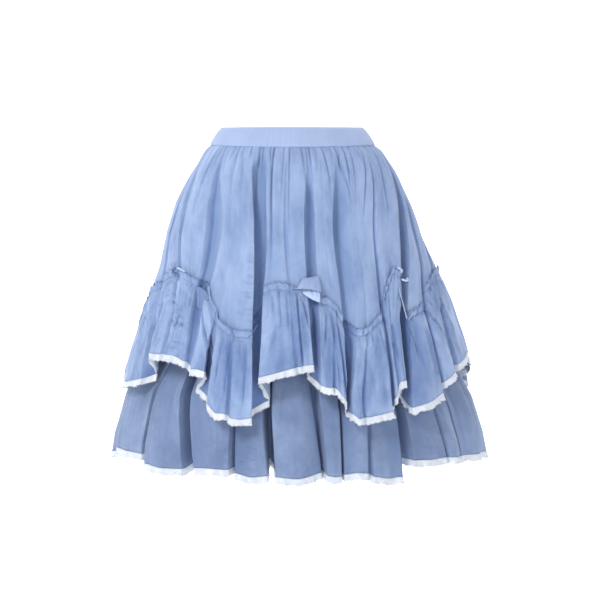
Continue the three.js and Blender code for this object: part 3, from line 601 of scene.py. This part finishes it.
# Lines pressed into a cloth: angle and height where each starts and ends, and its depth in mm
def pressLines(tube, z, lines, width=2.0, radius=235):
    angle = angleOf(tube.surface(z))
    total = np.zeros(z.shape)
    scale = degree * radius
    for fromAngle, fromZ, toAngle, toZ, depth in lines:
        across, down = (toAngle - fromAngle) * scale, toZ - fromZ
        length = math.hypot(across, down)
        x, y = ((angle - fromAngle + 180) % 360 - 180) * scale, z - fromZ
        t, away = (x * across + y * down) / length ** 2, (x * down - y * across) / length
        fade = smooth(t, -0.08, 0.15) * (1 - smooth(t, 0.7, 1.1))
        total += depth * fade * (0.6 * bell(away, 3.4 * width) - 1.2 * bell(away, width))
    return total


# How much painted shade a plan's lines of painted shade give each point; they darken colour and press nothing
# in
def paintedShadeLines(tube, z, plan):
    return sum(np.maximum(-pressLines(tube, z, [line], width), 0)
               for width, lines in plan["shaded"].items() for line in lines)


# How crumpled the cloth is at each point, from places with angles, heights and how much
def crumpledPlaces(points, z, places):
    angle = angleOf(points)
    crumple = 0 * z
    for low, high, bottom, top, much in places:
        edge = (high - low) * 0.25
        across = smooth(angle, low, low + 2 * edge) * (1 - smooth(angle, high - edge, high))
        down = smooth(z, bottom, bottom + 20) * (1 - smooth(z, top - 50, top))
        crumple = np.maximum(crumple, much * across * down)
    return crumple


def overskirtPoints():
    plan = overskirtPlan
    seam = outer.edge(outer.table["edge"])
    share = np.linspace(0, 1, plan["rows"] - 3) ** 0.9
    z = np.concatenate([plan["top"] + (seam + plan["heading"] - plan["top"]) * share[:, None],
                        seam + plan["heading"] * np.array([[0.5], [0.15], [0]])])
    arc, whole = arcOf(outer.surface(np.full((1, outer.count), -150.0))[0])
    below = cloth["grip"] - z
    free = smooth(below, 0, 60)
    out = waistGathers(outer, z)
    out = out + free * dents(arc, whole, z, **plan["soft"])
    out = out + smooth(below, 40, 140) * dents(arc, whole, z, **plan["fine"])
    out = out + gathers(arc, whole, z - seam + 2, **plan["gathers"]) * free
    points = outer.surface(z, out)
    # painted shade: the fold depths and the plan's lines of painted shade
    hollow = outer.hollow + paintedShadeLines(outer, z, plan)
    return seam, arc, whole, points, hollow, crumpledPlaces(points, z, plan["crumpled"])


seam, arc, whole, overskirt, overskirtPaintedShade, overskirtCrumple = overskirtPoints()
overskirtPiece = shell("overskirtCloth", overskirt, cotton, cloth["wall"], overskirtPaintedShade,
                       crumple=overskirtCrumple)
declare(overskirtPiece, ["overskirt_front", "overskirt_back"])

# The ruffle, in the same terms: "fullness" is how much of its gathers shows at an angle, "clear" where it is
# held off the underskirt, then the painted shade of its rim, of a line along its gathering thread and of its
# sunken places, "drawn" the creases drawn at random and "wrinkles" the number of short ones in all directions
rufflePlan = {
    "heading": 11, "lift": 0.9, "flare": 2.4, "rows": 35, "puff": (2.2, 14),
    "gathers": {"pitch": (8, 17), "height": (1.8, 5.4), "reach": (12, 40), "seed": 11},
    "fray": {"width": (4.6, 12), "length": (60, 200), "height": 1.5, "seed": 9},
    "wave": {"width": (6, 13), "length": (60, 200), "height": 1.3, "seed": 10},
    "flutes": {"width": (28, 70), "length": (70, 260), "height": 1.9, "seed": 12},
    "fine": {"width": (9, 20), "length": (60, 300), "height": 0.25, "seed": 13},
    "clear": {"at": 102, "reach": 7, "out": 9},
    "dark": {"rimShade": 9, "rimShadeWidth": 4, "seamShade": 8, "reach": 1.7, "sunkShade": 3},
    "drawn": {"from": 86, "to": 292, "lengths": [34, 50, 70, 95, 115]}, "wrinkles": 150,
    "folds": [
        (58.5, -262, 59.5, -348, 5), (20.5, -284, 20.8, -372, 4), (70, -270, 72, -352, 4),
        (50, -300, 51, -372, 4), (-62, -262, -65, -330, 4), (-50.5, -296, -52.5, -346, 4),
        (-77, -250, -84, -330, 4), (-23.5, -316, -23, -392, 3.5), (9.4, -264, 9.4, -326, 4),
        (29, -322, 29.5, -392, 3), (41, -292, 41, -350, 4), (-5, -262, -8, -330, 2.5),
        (100, -290, 103, -380, 5), (134, -270, 133, -350, 5), (150, -320, 152, -410, 5),
        (176, -270, 178, -340, 5), (195, -290, 193, -370, 5), (212, -320, 214, -410, 5),
        (228, -280, 226, -350, 5), (250, -270, 252, -350, 5),
    ],
    "fullness": [
        (-100, 1), (-68, 0.9), (-62, 0.35), (-46, 0.35), (-42, 0.9), (-32, 0.9), (-28, 0.5), (-17, 0.5),
        (-12, 0.5), (-1, 0.6), (4, 1.15), (22, 1.25), (26, 0.75), (36, 0.8), (42, 1), (100, 1),
    ],
    "crumpled": [
        (-82, -64, -350, -225, 0.4), (-72, -54, -350, -225, 0.45), (-60, -42, -350, -225, 0.5),
        (56, 74, -350, -250, 0.5), (-12, 8, -330, -240, 0.35), (190, 215, -380, -270, 0.5),
    ],
    # lines of painted shade, as for the overskirt
    "shaded": {
        22: [(44.5, -280, 45.2, -425, 19), (17, -290, 18, -400, 10), (-26, -310, -27, -400, 15),
             (50, -280, 51, -410, 19), (3, -270, 3, -350, 12), (-18, -320, -18, -400, 13),
             (33, -300, 33, -420, 6), (26, -320, 26, -420, 5), (11, -280, 11, -380, 6)],
        12: [(56, -300, 57.5, -385, 20), (57.5, -262, 64, -330, 6), (-60, -290, -62, -340, 6),
             (39.5, -250, 41, -330, 4)],
        4: [(66, -232, 71, -318, 16), (-41, -262, -33, -330, 7)],
    },
    "creases": [
        (-63, -256, -53, -257.5, 3), (-59.5, -265, -52.4, -269, 3), (-55.2, -292, -45.1, -298, 3.6),
        (-61, -249, -56, -248, 2.6), (-64.5, -243, -54.6, -229, 4), (-52.6, -229, -44.4, -246, 4),
        (-42.4, -243, -40.6, -316, -4.5), (-49.8, -282, -50.4, -352, 6), (-42.5, -240, -39.5, -276, 4.5),
        (-39.5, -268, -30, -352, 6), (-36.3, -246, -31.4, -308, 5), (-58, -222, -56, -290, 4),
        (-64, -222, -63, -300, 4), (-53.5, -224, -52, -262, 4), (-46, -236, -45.4, -274, 3.5),
        (-27, -300, -28.4, -380, 4), (-24, -304, -24.5, -398, 4), (-20, -304, -19.6, -340, 3),
        (-17.5, -306, -17, -420, 3), (-9, -238, -7, -280, 3.5), (-5.6, -238, -4, -300, 3.5),
        (-2.4, -240, -1, -296, 4), (0.4, -240, 1.2, -280, 4.5), (2.2, -240, 4.3, -358, 6),
        (4, -242, 7.5, -300, 4.5), (9.2, -262, 9.2, -372, 7), (12.6, -268, 12, -300, 3.5),
        (14.1, -270, 12.7, -326, 5), (16.2, -274, 16.6, -310, 4), (18.0, -280, 19.5, -400, 7),
        (17, -276, 17.4, -390, 5), (21.2, -288, 21.6, -384, 5.5), (23.4, -300, 24, -336, 3.5),
        (29.5, -302, 30, -330, 3), (34.5, -240, 35.8, -330, 4.5), (31.5, -286, 32, -320, 3),
        (38.6, -240, 39.4, -330, 4), (47.5, -250, 49.5, -350, 5), (57.4, -250, 66, -335, 6),
        (53, -244, 55, -290, 4), (61, -240, 64, -280, 4), (70, -234, 74, -330, 4.5), (79, -236, 80, -300, 4),
    ],
}


# Narrow notches where the gathering thread draws the cloth in
def pinches(arc, whole):
    own = np.random.default_rng(14)
    total, at = np.zeros(len(arc)), 0.0
    while at < whole - 5:
        away = (arc - at + whole / 2) % whole - whole / 2
        total -= own.uniform(1.8, 4.4) * bell(away, own.uniform(1.1, 2.0))
        at += own.uniform(5, 11)
    return total


# All of a cloth's pressed creases, with those of the back and the short wrinkles drawn at random
def ruffleCreases():
    plan, own = rufflePlan, np.random.default_rng(17)
    creases = list(plan["creases"])
    at = plan["drawn"]["from"]
    while at < plan["drawn"]["to"]:
        length, start = own.choice(plan["drawn"]["lengths"]), -262 - own.uniform(-20, 30)
        creases.append((at, start, at + own.uniform(-4, 4), start - length, own.uniform(3, 6.5)))
        at += own.uniform(2.6, 7)
    for _ in range(plan["wrinkles"]):
        start, height = own.uniform(-180, 180), own.uniform(-400, -240)
        end = start + own.uniform(-4.5, 4.5), height + own.uniform(-9, 9)
        creases.append((start, height, *end, own.uniform(0.7, 2)))
    return creases


# Points of the ruffle, its painted shade amount, its crumpled places and the height of its hem. Painted shade
# draws a dark line where the gathering thread runs and along the frayed edge, and darkens its sunken places
# and creases. Above that thread it follows the overskirt's gathers.
def rufflePoints():
    plan = rufflePlan
    drop = outer.edge(outer.drops)
    level = np.zeros((1, outer.count))
    fray = dents(arc, whole, level, **plan["fray"])
    heading = seam + np.linspace(1, 0, 6)[:, None] * (plan["heading"] + fray)
    z = np.concatenate([heading, seam - drop * np.linspace(0, 1, plan["rows"])[1:, None] ** 1.3])
    below, above = np.maximum(seam - z, 0), np.maximum(z - seam, 0)
    stitching = above + below
    wave = dents(arc, whole, level, **plan["wave"])
    puff, reach = plan["puff"]
    out = plan["lift"] + smooth(above, 0, 4) * (plan["flare"] + 1.5 * wave)
    out = out + puff * below / reach * np.exp(1 - below / reach)
    drawnIn = bell(above, 6) * (above > 0) + bell(below, 9) * (above <= 0)
    out = out + pinches(arc, whole) * drawnIn * smooth(stitching, 0.5, 3)
    angle = angleOf(outer.surface(seam[None, :])[0])
    fullness = np.interp(angle, *np.array(plan["fullness"]).T)
    out = out + fullness * gathers(arc, whole, below, **plan["gathers"])
    pressed = pressLines(outer, z, ruffleCreases()) * smooth(below, 1, 9)
    broad = pressLines(outer, z, plan["folds"], 5.5) * smooth(below, 6, 40)
    out = out + pressed + broad
    hang = smooth(below, 10, 110)
    out = out + hang * dents(arc, whole, z, **plan["flutes"])
    out = out + hang * dents(arc, whole, z, **plan["fine"])
    clear = plan["clear"]
    out = out + hang * clear["out"] * bell(angle - clear["at"], clear["reach"])
    # painted shade: a dark frayed rim, a dark line at the stitching, darker sunken cloth and creases, and the
    # plan's lines of painted shade
    dark = plan["dark"]
    uneven = np.clip(0.6 + 0.35 * fray, 0.1, 1.2)
    rimShade = dark["rimShade"] * uneven * smooth(above, plan["heading"] - dark["rimShadeWidth"], plan["heading"] + fray)
    shade = rimShade + dark["seamShade"] * uneven * bell(stitching, dark["reach"])
    shade = shade + dark["sunkShade"] * (np.maximum(plan["lift"] - out, 0) + np.maximum(-pressed - 1.2, 0))
    shade = shade + np.maximum(-broad - 1, 0) + paintedShadeLines(outer, z, plan)
    skirtOut = gathers(arc, whole, z - seam + 2, **overskirtPlan["gathers"]) * (above > 0)
    points = outer.surface(z, out + skirtOut)
    return points, outer.hollow + shade, crumpledPlaces(points, z, plan["crumpled"]), seam - drop


ruffle, rufflePaintedShade, ruffleCrumple, ruffleHem = rufflePoints()
rufflePiece = shell("ruffleCloth", ruffle, ruffleCotton, cloth["wall"], rufflePaintedShade, crumple=ruffleCrumple)
declare(rufflePiece, ["ruffle_front", "ruffle_back"])

# The underskirt, in the same terms, with a painted shadow under the ruffle's hem, by its strength and reach
# in mm
underskirtPlan = {
    "top": -20, "bare": -250, "rows": 46, "ruffleShadow": 5, "ruffleShadowReach": 45,
    "soft": {"width": (44, 95), "length": (160, 700), "height": 3.4, "seed": 21},
    "fine": {"width": (8, 18), "length": (80, 400), "height": 0.28, "seed": 22},
    # lines of painted shade, as for the overskirt
    "shaded": {22: [(36.5, -380, 37.5, -540, 16), (14, -400, 14, -540, 8), (-34, -400, -35, -540, 8)]},
    "crumpled": [
        (-80, -52, -540, -400, 0.5), (-30, -10, -540, -430, 0.8), (36, 66, -500, -380, 0.7),
        (120, 150, -540, -420, 0.6),
    ],
}


def underskirtPoints():
    plan = underskirtPlan
    hem = inner.edge(inner.table["edge"])
    upper = np.linspace(plan["top"], plan["bare"], 8)[:-1, None] + 0 * hem
    lower = plan["bare"] + (hem - plan["bare"]) * np.linspace(0, 1, plan["rows"] - 7)[:, None]
    z = np.concatenate([upper, lower])
    around, length = arcOf(inner.surface(np.full((1, inner.count), -430.0))[0])
    free = smooth(-z, 250, 400)
    out = free * dents(around, length, z, **plan["soft"]) + free * dents(around, length, z, **plan["fine"])
    points = inner.surface(z, out)
    over = angleOf(ruffle[-1])
    order = np.argsort(over)
    hemAbove = np.interp(angleOf(points[-1]), over[order], ruffleHem[order])
    # painted shadow below the ruffle's hem, fading with distance under it
    ruffleShadow = plan["ruffleShadow"] * np.exp(-np.maximum(hemAbove - z, 0) / plan["ruffleShadowReach"])
    # painted shade: fold depths, the painted shadow under the ruffle and the plan's lines of painted shade
    hollow = inner.hollow + ruffleShadow + paintedShadeLines(inner, z, plan)
    return points, hollow, crumpledPlaces(points, z, plan["crumpled"])


underskirt, underskirtPaintedShade, underskirtCrumple = underskirtPoints()
underskirtPiece = shell("underskirtCloth", underskirt, underCotton, cloth["wall"], underskirtPaintedShade,
                        crumple=underskirtCrumple)
declare(underskirtPiece, ["underskirt_front", "underskirt_back"])

# Lace, sewn on by a strip of its own width under the edge that carries it
lacePlan = {
    "rows": 8, "wall": 0.5, "scallop": 7.4, "depth": 1.3, "under": 0.8, "lift": 0.5,
    "uneven": {"width": (8, 40), "length": (60, 200), "height": 0.7},
    "wave": {"width": (9, 30), "length": (60, 200), "height": 1.9},
}


def lacePiece(name, points, nodes, seed, wide):
    plan = lacePlan
    edge, normal = points[-1], normalsOf(points)[-1]
    down = edge - points[-3]
    down = down / np.linalg.norm(down, axis=1, keepdims=True)
    around, length = arcOf(edge)
    level = np.zeros((1, len(around)))
    tooth = plan["depth"] * np.abs(np.sin(math.pi * round(length / plan["scallop"]) * around / length))
    width = wide - plan["depth"] + tooth + dents(around, length, level, **plan["uneven"], seed=seed)[0]
    curl = dents(around, length, level, **plan["wave"], seed=seed + 1)[0]
    share = np.linspace(0, 1, plan["rows"])[:, None]
    rows = (edge[None] + down[None] * (share * width - plan["under"])[..., None]
            + normal[None] * (plan["lift"] + curl * share ** 1.5)[..., None])
    piece = shell(name, rows, laceCotton, plan["wall"])
    declare(piece, nodes)
    return rows, piece


ruffleLace, ruffleLacePiece = lacePiece(
    "ruffleLaceStrip", ruffle, ["ruffle_lace_front", "ruffle_lace_back"], 31, 10.4)
underskirtLace, underskirtLacePiece = lacePiece(
    "underskirtLaceStrip", underskirt, ["underskirt_lace_front", "underskirt_lace_back"], 33, 10.8)

bandPlan = {
    "columns": 420, "wall": 2.4, "rows": 14, "ribs": 0.12, "ribCount": 210, "height": 29.4, "sideRise": 1.8,
    "round": 1.1, "stitchAt": 0.9, "stitchDepth": 0.5,
}


# The band, rounded over at both edges, with a sunken line where the casing is stitched
def waistband():
    plan = bandPlan
    t = np.linspace(0, 1, plan["rows"])[:, None]
    angle = np.linspace(0, 2 * math.pi, plan["columns"], endpoint=False)[None, :] + 0 * t
    z = -t * (plan["height"] - plan["sideRise"] * np.sin(angle) ** 2)
    out = -plan["round"] * (1 - np.sin(math.pi * t) ** 0.35) + plan["ribs"] * np.sin(angle * plan["ribCount"])
    return figurePoint(bandFigure, angle, z, out - plan["stitchDepth"] * bell(t - plan["stitchAt"], 0.03), 0)


bandPiece = shell("waistbandElastic", waistband(), elastic, bandPlan["wall"])
declare(bandPiece, ["waistband"])
print("main pieces made")


# Trims that repeat: instances of a small mesh along the edges of a path, then plain mesh
def runTree(name, kind):
    tree = bpy.data.node_groups.new(name, "GeometryNodeTree")
    face = tree.interface
    face.new_socket("Geometry", in_out="INPUT", socket_type="NodeSocketGeometry")
    for label in ("Pitch", "Length", "Thickness"):
        face.new_socket(label, in_out="INPUT", socket_type="NodeSocketFloat")
    face.new_socket("Finish", in_out="INPUT", socket_type="NodeSocketMaterial")
    face.new_socket("Geometry", in_out="OUTPUT", socket_type="NodeSocketGeometry")

    def add(type_, inputs=None, **settings):
        node = tree.nodes.new(type_)
        for key, value in settings.items():
            setattr(node, key, value)
        for key, value in (inputs or {}).items():
            node.inputs[key].default_value = value
        return node

    def join(a, outlet, b, inlet):
        tree.links.new(a.outputs[outlet], b.inputs[inlet])

    start, end = add("NodeGroupInput"), add("NodeGroupOutput")
    curve, spaced = add("GeometryNodeMeshToCurve"), add("GeometryNodeResampleCurve", mode="LENGTH")
    place, real = add("GeometryNodeInstanceOnPoints"), add("GeometryNodeRealizeInstances")
    turn, paint = add("FunctionNodeAlignRotationToVector", axis="Z"), add("GeometryNodeSetMaterial")
    way = add("GeometryNodeInputNamedAttribute", {"Name": "outward"}, data_type="FLOAT_VECTOR")
    facing = "Attribute"
    if kind == "stitch":
        item = add("GeometryNodeMeshUVSphere", {"Segments": 5, "Rings": 4, "Radius": 0.5})
        way, facing = add("GeometryNodeInputTangent"), "Tangent"
    if kind == "thread":
        item = add("GeometryNodeMeshCone",
                   {"Vertices": 3, "Radius Top": 0.15, "Radius Bottom": 0.5, "Depth": 1.0})
        loose = add("FunctionNodeRandomValue", {"Min": (-1.2, -1.2, -0.8), "Max": (1.2, 1.2, 1.2), "Seed": 5},
                    data_type="FLOAT_VECTOR")
        leaning = add("ShaderNodeVectorMath", operation="ADD")
        join(way, facing, leaning, 0)
        join(loose, "Value", leaning, 1)
        way, facing = leaning, "Vector"
    if kind == "loop":
        item = add("GeometryNodeCurveToMesh")
        ring = add("GeometryNodeCurvePrimitiveCircle", {"Resolution": 7})
        wire = add("GeometryNodeCurvePrimitiveCircle", {"Resolution": 3})
        for circle, label, inlet in ((ring, "Length", "Curve"), (wire, "Thickness", "Profile Curve")):
            join(start, label, circle, "Radius")
            join(circle, "Curve", item, inlet)
    else:
        size = add("ShaderNodeCombineXYZ")
        for label, axis in (("Thickness", "X"), ("Thickness", "Y"), ("Length", "Z")):
            join(start, label, size, axis)
        join(size, "Vector", place, "Scale")
    for link in ((start, "Geometry", curve, "Mesh"), (curve, "Curve", spaced, "Curve"),
                 (start, "Pitch", spaced, "Length"), (spaced, "Curve", place, "Points"),
                 (way, facing, turn, "Vector"), (turn, "Rotation", place, "Rotation"),
                 (item, "Mesh", place, "Instance"), (place, "Instances", real, "Geometry"),
                 (real, "Geometry", paint, "Geometry"), (start, "Finish", paint, "Material"),
                 (paint, "Geometry", end, "Geometry")):
        join(*link)
    return tree


trees = {kind: runTree(kind + "Run", kind) for kind in ("stitch", "loop", "thread")}


# A trim along a path closed on itself: what repeats, the path's outward ways, and its pitch, length and
# thickness in mm
def trim(name, kind, path, outward, sizes, material):
    mesh = bpy.data.meshes.new(name)
    count = len(path)
    mesh.from_pydata([tuple(point) for point in path * mm], [(k, (k + 1) % count) for k in range(count)], [])
    way = mesh.attributes.new("outward", "FLOAT_VECTOR", "POINT")
    way.data.foreach_set("vector", outward.astype(np.float32).ravel())
    run = placed(name + "Path", mesh)
    nodes = run.modifiers.new("run", "NODES")
    nodes.node_group = trees[kind]
    names = {item.name: item.identifier for item in trees[kind].interface.items_tree
             if item.in_out == "INPUT"}
    for label, value in zip(("Pitch", "Length", "Thickness"), sizes):
        nodes[names[label]] = value * mm
    nodes[names["Finish"]] = material
    made = bpy.data.meshes.new_from_object(run.evaluated_get(bpy.context.evaluated_depsgraph_get()))
    bpy.data.objects.remove(run)
    made.name = name
    made.polygons.foreach_set("use_smooth", np.ones(len(made.polygons), bool))
    piece = placed(name, made)
    declare(piece, [])
    return piece


def grainOf(finish, scale):
    return finish.noise(finish.node("ShaderNodeTexCoord", {}, (), output=3), scale)


def threadFinish(name, colour):
    finish = Finish(name, 0.8)
    finish.colour(finish.mix(grainOf(finish, 900.0), [0.8 * c for c in colour], colour))
    return finish.material


# the pale thread is a painted highlight: cords for the cloth's own curled and rolled edges, lighter than the
# cloth
threads = {name: threadFinish(name + "Thread", colour) for name, colour in (
    ("blue", (0.14, 0.21, 0.38)), ("white", (0.84, 0.85, 0.87)), ("pale", (0.5, 0.6, 0.82)),
    # the dark thread is painted shade: cords in the centre slit and the left knot, where shadow falls
    ("dark", (0.09, 0.14, 0.27)), ("curled", (0.4, 0.5, 0.74)))}
ruffleNormal = normalsOf(ruffle)
seamRow = 5
upward = ruffleNormal[0] * (0.5, 0.5, 0) + (0, 0, 1)
seamTrims = [
    # the seam stitches' blue thread is darker than the cloth: real thread, and partly painted shade along the
    # seam
    trim("seamStitches", "stitch", ruffle[seamRow] + 0.3 * ruffleNormal[seamRow], ruffleNormal[seamRow],
         (3.4, 2.4, 0.7), threads["blue"]),
    trim("headingThreads", "thread", ruffle[0], upward, (1.7, 3.2, 0.3), ruffleCotton),
]
for name, rows in (("ruffleLace", ruffleLace), ("underskirtLace", underskirtLace)):
    normal = normalsOf(rows)
    trim(name + "Picots", "loop", rows[-1], normal[-1], (2.6, 0.95, 0.22), threads["white"])
    trim(name + "Stitches", "stitch", rows[1] + 0.25 * normal[1], normal[1], (3.0, 2.0, 0.5),
             threads["white"])

# Turned corners of the heading, each a small patch by its control points of angle, height and lift; the left
# one is cut from a darker copy of the cotton, painted shade
patches = {
    "centreTurnUpper": ("turned", [
        [(4.0, -222.8, 2), (6.2, -221.3, 4), (8.1, -220.5, 5), (9.9, -218.4, 4)],
        [(2.9, -228.7, 5), (5.5, -227.2, 8), (7.7, -227.2, 11), (10.1, -227.2, 10)],
        [(2.2, -234.5, 7), (4.8, -233.8, 11), (7.3, -234.5, 15), (10.1, -236, 15)],
        [(1.4, -238, 6), (4.0, -236.7, 11), (7.0, -236.5, 15), (10.0, -241, 15)],
    ]),
    "centreTurnLower": ("pale", [
        [(3.3, -238.5, 2), (5.1, -237.6, 4), (7, -237, 6), (9.2, -237, 7)],
        [(3.6, -242, 5), (5.5, -242.6, 8), (7.3, -242, 10), (9.7, -242, 11)],
        [(4.0, -244.8, 5), (5.9, -247.8, 9), (7.7, -249, 12), (9.8, -248.5, 12)],
        [(4.2, -245.5, 3), (5.9, -250.4, 6), (7.7, -255, 9), (9.4, -257, 10)],
    ]),
    "leftTurn": ("shaded", [
        [(-40.7, -238.6, 3), (-38.3, -239.3, 2), (-35.9, -242.8, 2), (-32.6, -254, 4)],
        [(-40.4, -245.6, 1), (-38, -247, -2), (-36.2, -249.8, -1), (-33.8, -256, 4)],
        [(-39.8, -255.4, 0), (-38, -256.8, -4), (-36.8, -258.2, -3), (-35.6, -261.7, 2)],
        [(-38.9, -269.4, -2), (-38, -272.2, -5), (-37.7, -273.6, -5), (-37.1, -275, -3)],
    ]),
}


def bezierBasis(t):
    return np.stack([(1 - t) ** 3, 3 * t * (1 - t) ** 2, 3 * t * t * (1 - t), t ** 3], -1)


def patchPiece(name, control, material, seed):
    down, across = np.linspace(0, 1, 22), np.linspace(0, 1, 30)
    spread = np.einsum("ra,abk,cb->rck", bezierBasis(down), np.array(control, float), bezierBasis(across))
    own = np.random.default_rng(seed)
    ripple = sum(own.uniform(0.2, 0.6) * np.sin(own.uniform(8, 30) * across + own.uniform(0, 6))
                 for _ in range(4))
    lift = spread[..., 2] + 2 + 0.5 * ripple
    points = figurePoint(outerFigure, spread[..., 0] * degree, spread[..., 1], lift, 0)
    piece = shell(name, points, material, 0.6, np.zeros(points.shape[:2]), closed=False)
    declare(piece, [])
    return piece


# the pale copy of the cotton is a painted highlight on the lower centre turn, which faces up to the light
turnedFinishes = {"turned": cotton}
for finish, light, shade in (("pale", (0.47, 0.58, 0.82), (0.37, 0.48, 0.73)),
                             ("shaded", (0.17, 0.25, 0.46), (0.12, 0.18, 0.35))):
    turnedFinishes[finish] = cottonFinish(finish + "Cotton", {**cottonLook, "light": light, "shade": shade})
for seed, (name, (finish, control)) in enumerate(patches.items()):
    seamTrims.append(patchPiece(name, control, turnedFinishes[finish], 50 + seed))


# A thin rolled edge or loose thread along a few points of angle, height and lift
def cordPiece(name, path, radius, material):
    control = np.array(path, float)
    t = np.linspace(0, len(path) - 1, 12 * len(path))
    angle, z, lift = [np.interp(t, np.arange(len(path)), control[:, k]) for k in range(3)]
    centre = figurePoint(outerFigure, angle * degree, z, lift, 0)
    for _ in range(6):
        centre[1:-1] = (centre[:-2] + 2 * centre[1:-1] + centre[2:]) / 4
    way = np.gradient(centre, axis=0)
    way /= np.linalg.norm(way, axis=1, keepdims=True)
    side = np.cross(way, (0, 0.6, 0.8))
    side /= np.linalg.norm(side, axis=1, keepdims=True)
    up = np.cross(side, way)
    sides, count = 7, len(t)
    around = np.linspace(0, 2 * math.pi, sides, endpoint=False)[None, :, None]
    step = np.arange(count)
    thick = radius * np.clip(np.minimum(step, step[::-1]) / 3, 0.15, 1)
    ring = np.cos(around) * side[:, None] + np.sin(around) * up[:, None]
    rings = centre[:, None] + thick[:, None, None] * ring
    faces = [(r + k, r + (k + 1) % sides, r + sides + (k + 1) % sides, r + sides + k)
             for r in range(0, (count - 1) * sides, sides) for k in range(sides)]
    faces += [tuple(range(sides))[::-1], tuple(range((count - 1) * sides, count * sides))]
    piece = plainPiece(name, [tuple(point) for point in rings.reshape(-1, 3) * mm], faces, material)
    declare(piece, [])
    return piece


cords = {
    # pale cords: painted highlight on curled and rolled edges of the heading
    "rightRolledEdge": ([(42.6, -238, 4), (42.5, -256, 4), (42.8, -275, 3), (43, -289, 2)], 0.75, "pale"),
    "rightThreadEnd": ([(43.2, -291, 2), (45, -285, 3), (46.6, -280, 3)], 0.55, "pale"),
    "rightCurlUpper": ([(44.4, -211, 5), (45.1, -213.5, 8), (45.8, -216.5, 8), (45.4, -220, 6)], 1.9, "pale"),
    "rightCurlLower": ([(44.6, -229, 6), (46, -231.5, 9), (47.4, -231, 9), (48, -227.5, 6)], 1.8, "pale"),
    "leftCurl": ([(-58, -204, 4), (-59.8, -208, 7), (-60.2, -213, 8), (-58.8, -216.5, 6)], 1.5, "curled"),
    "leftTurnedEdge": (
        [(-55.8, -215.5, 5), (-53.5, -214, 8), (-51.5, -216, 8), (-48.8, -219, 5)], 1.5, "pale"),
    # these two knot cords and the centre slit below are dark cords: painted shade where shadow falls
    "leftKnot": ([(-59, -219, 5), (-56.5, -221, 8), (-54, -223, 6)], 1.0, "dark"),
    "leftKnotOver": ([(-54.6, -213, 6), (-56, -218, 9), (-57.6, -225, 6)], 1.0, "dark"),
    "centreSlit": ([(-0.2, -239.5, 6), (2.2, -239, 9), (5, -237, 12), (7.4, -236, 13)], 0.9, "dark"),
    "leftThread": ([(-15.6, -309, 4), (-14, -304, 5), (-13, -296, 5), (-12.2, -289, 3)], 0.6, "blue"),
}
for name, (path, radius, thread) in cords.items():
    seamTrims.append(cordPiece(name, path, radius, threads[thread]))
print("pieces made,", sum(triangles.values()), "triangles, at most", max(triangles.values()), "in one")

# Floor, light and camera
studio = {
    "floor": -0.9, "back": 3.2, "bend": 1.2, "key": 62, "fill": 7, "front": 9, "paper": 36, "glow": 0.75,
    "world": 0.3,
}


# One sheet of paper for the floor and the wall behind, bent where they meet
def stageSheet():
    z, back, bend, half, top = studio["floor"], studio["back"], studio["bend"], 9.0, 7
    profile = [(-9, z), (back - bend, z)]
    profile += [(back - bend + bend * math.sin(a), z + bend - bend * math.cos(a))
                for a in np.linspace(0, math.pi / 2, 12)[1:]]
    profile.append((back, top))
    vertices = [(side * half, y, height) for y, height in profile for side in (-1, 1)]
    faces = [(2 * k, 2 * k + 1, 2 * k + 3, 2 * k + 2) for k in range(len(profile) - 1)]
    finish = Finish("studioPaper", 0.9)
    finish.colour(finish.mix(grainOf(finish, 3.0), (0.93, 0.93, 0.93), (0.95, 0.95, 0.95)))
    finish.feed(finish.bsdf.inputs["Emission Color"], (1, 1, 1, 1))
    finish.feed(finish.bsdf.inputs["Emission Strength"], studio["glow"])
    plainPiece("studioFloor", vertices, faces, finish.material)


def lamp(name, place, aim, size, power):
    light = bpy.data.lights.new(name, "AREA")
    light.shape, light.size, light.size_y, light.energy = "RECTANGLE", size[0], size[1], power
    piece = placed(name, light)
    way = np.array(aim, float) - np.array(place, float)
    piece.location = place
    flat = math.hypot(way[0], way[1])
    piece.rotation_euler = (math.atan2(flat, -way[2]), 0, math.atan2(way[1], way[0]) - math.pi / 2)


stageSheet()
middle = (0, 0, -0.27)
lamp("keyLight", (-1.6, -2.2, 2.0), middle, (1.1, 1.1), studio["key"])
lamp("fillLight", (2.2, -1.9, 0.4), middle, (1.4, 1.4), studio["fill"])
lamp("frontLight", (0.1, -3.0, 0.1), middle, (0.8, 0.8), studio["front"])
lamp("paperLight", (0, 1.2, 2.6), (0, 3.2, 0.2), (4.5, 1.0), studio["paper"])
lamp("floorLight", (0, 0.9, 2.8), (0, 1.6, -0.9), (5.0, 1.6), studio["paper"])
bpy.context.scene.view_settings.view_transform = "Standard"
world = bpy.data.worlds.new("studioWorld")
world.use_nodes = True
sky = world.node_tree.nodes["Background"].inputs
sky["Color"].default_value, sky["Strength"].default_value = (0.96, 0.97, 1, 1), studio["world"]
bpy.context.scene.world = world
camera = placed("camera", bpy.data.cameras.new("camera"))
camera.location = (0.012, -2.6, 0.015)
camera.rotation_euler = (math.radians(90 - 6.4), 0, 0)
camera.data.lens, camera.data.sensor_width = 97.5, 36
bpy.context.scene.camera = camera
print("stage made")
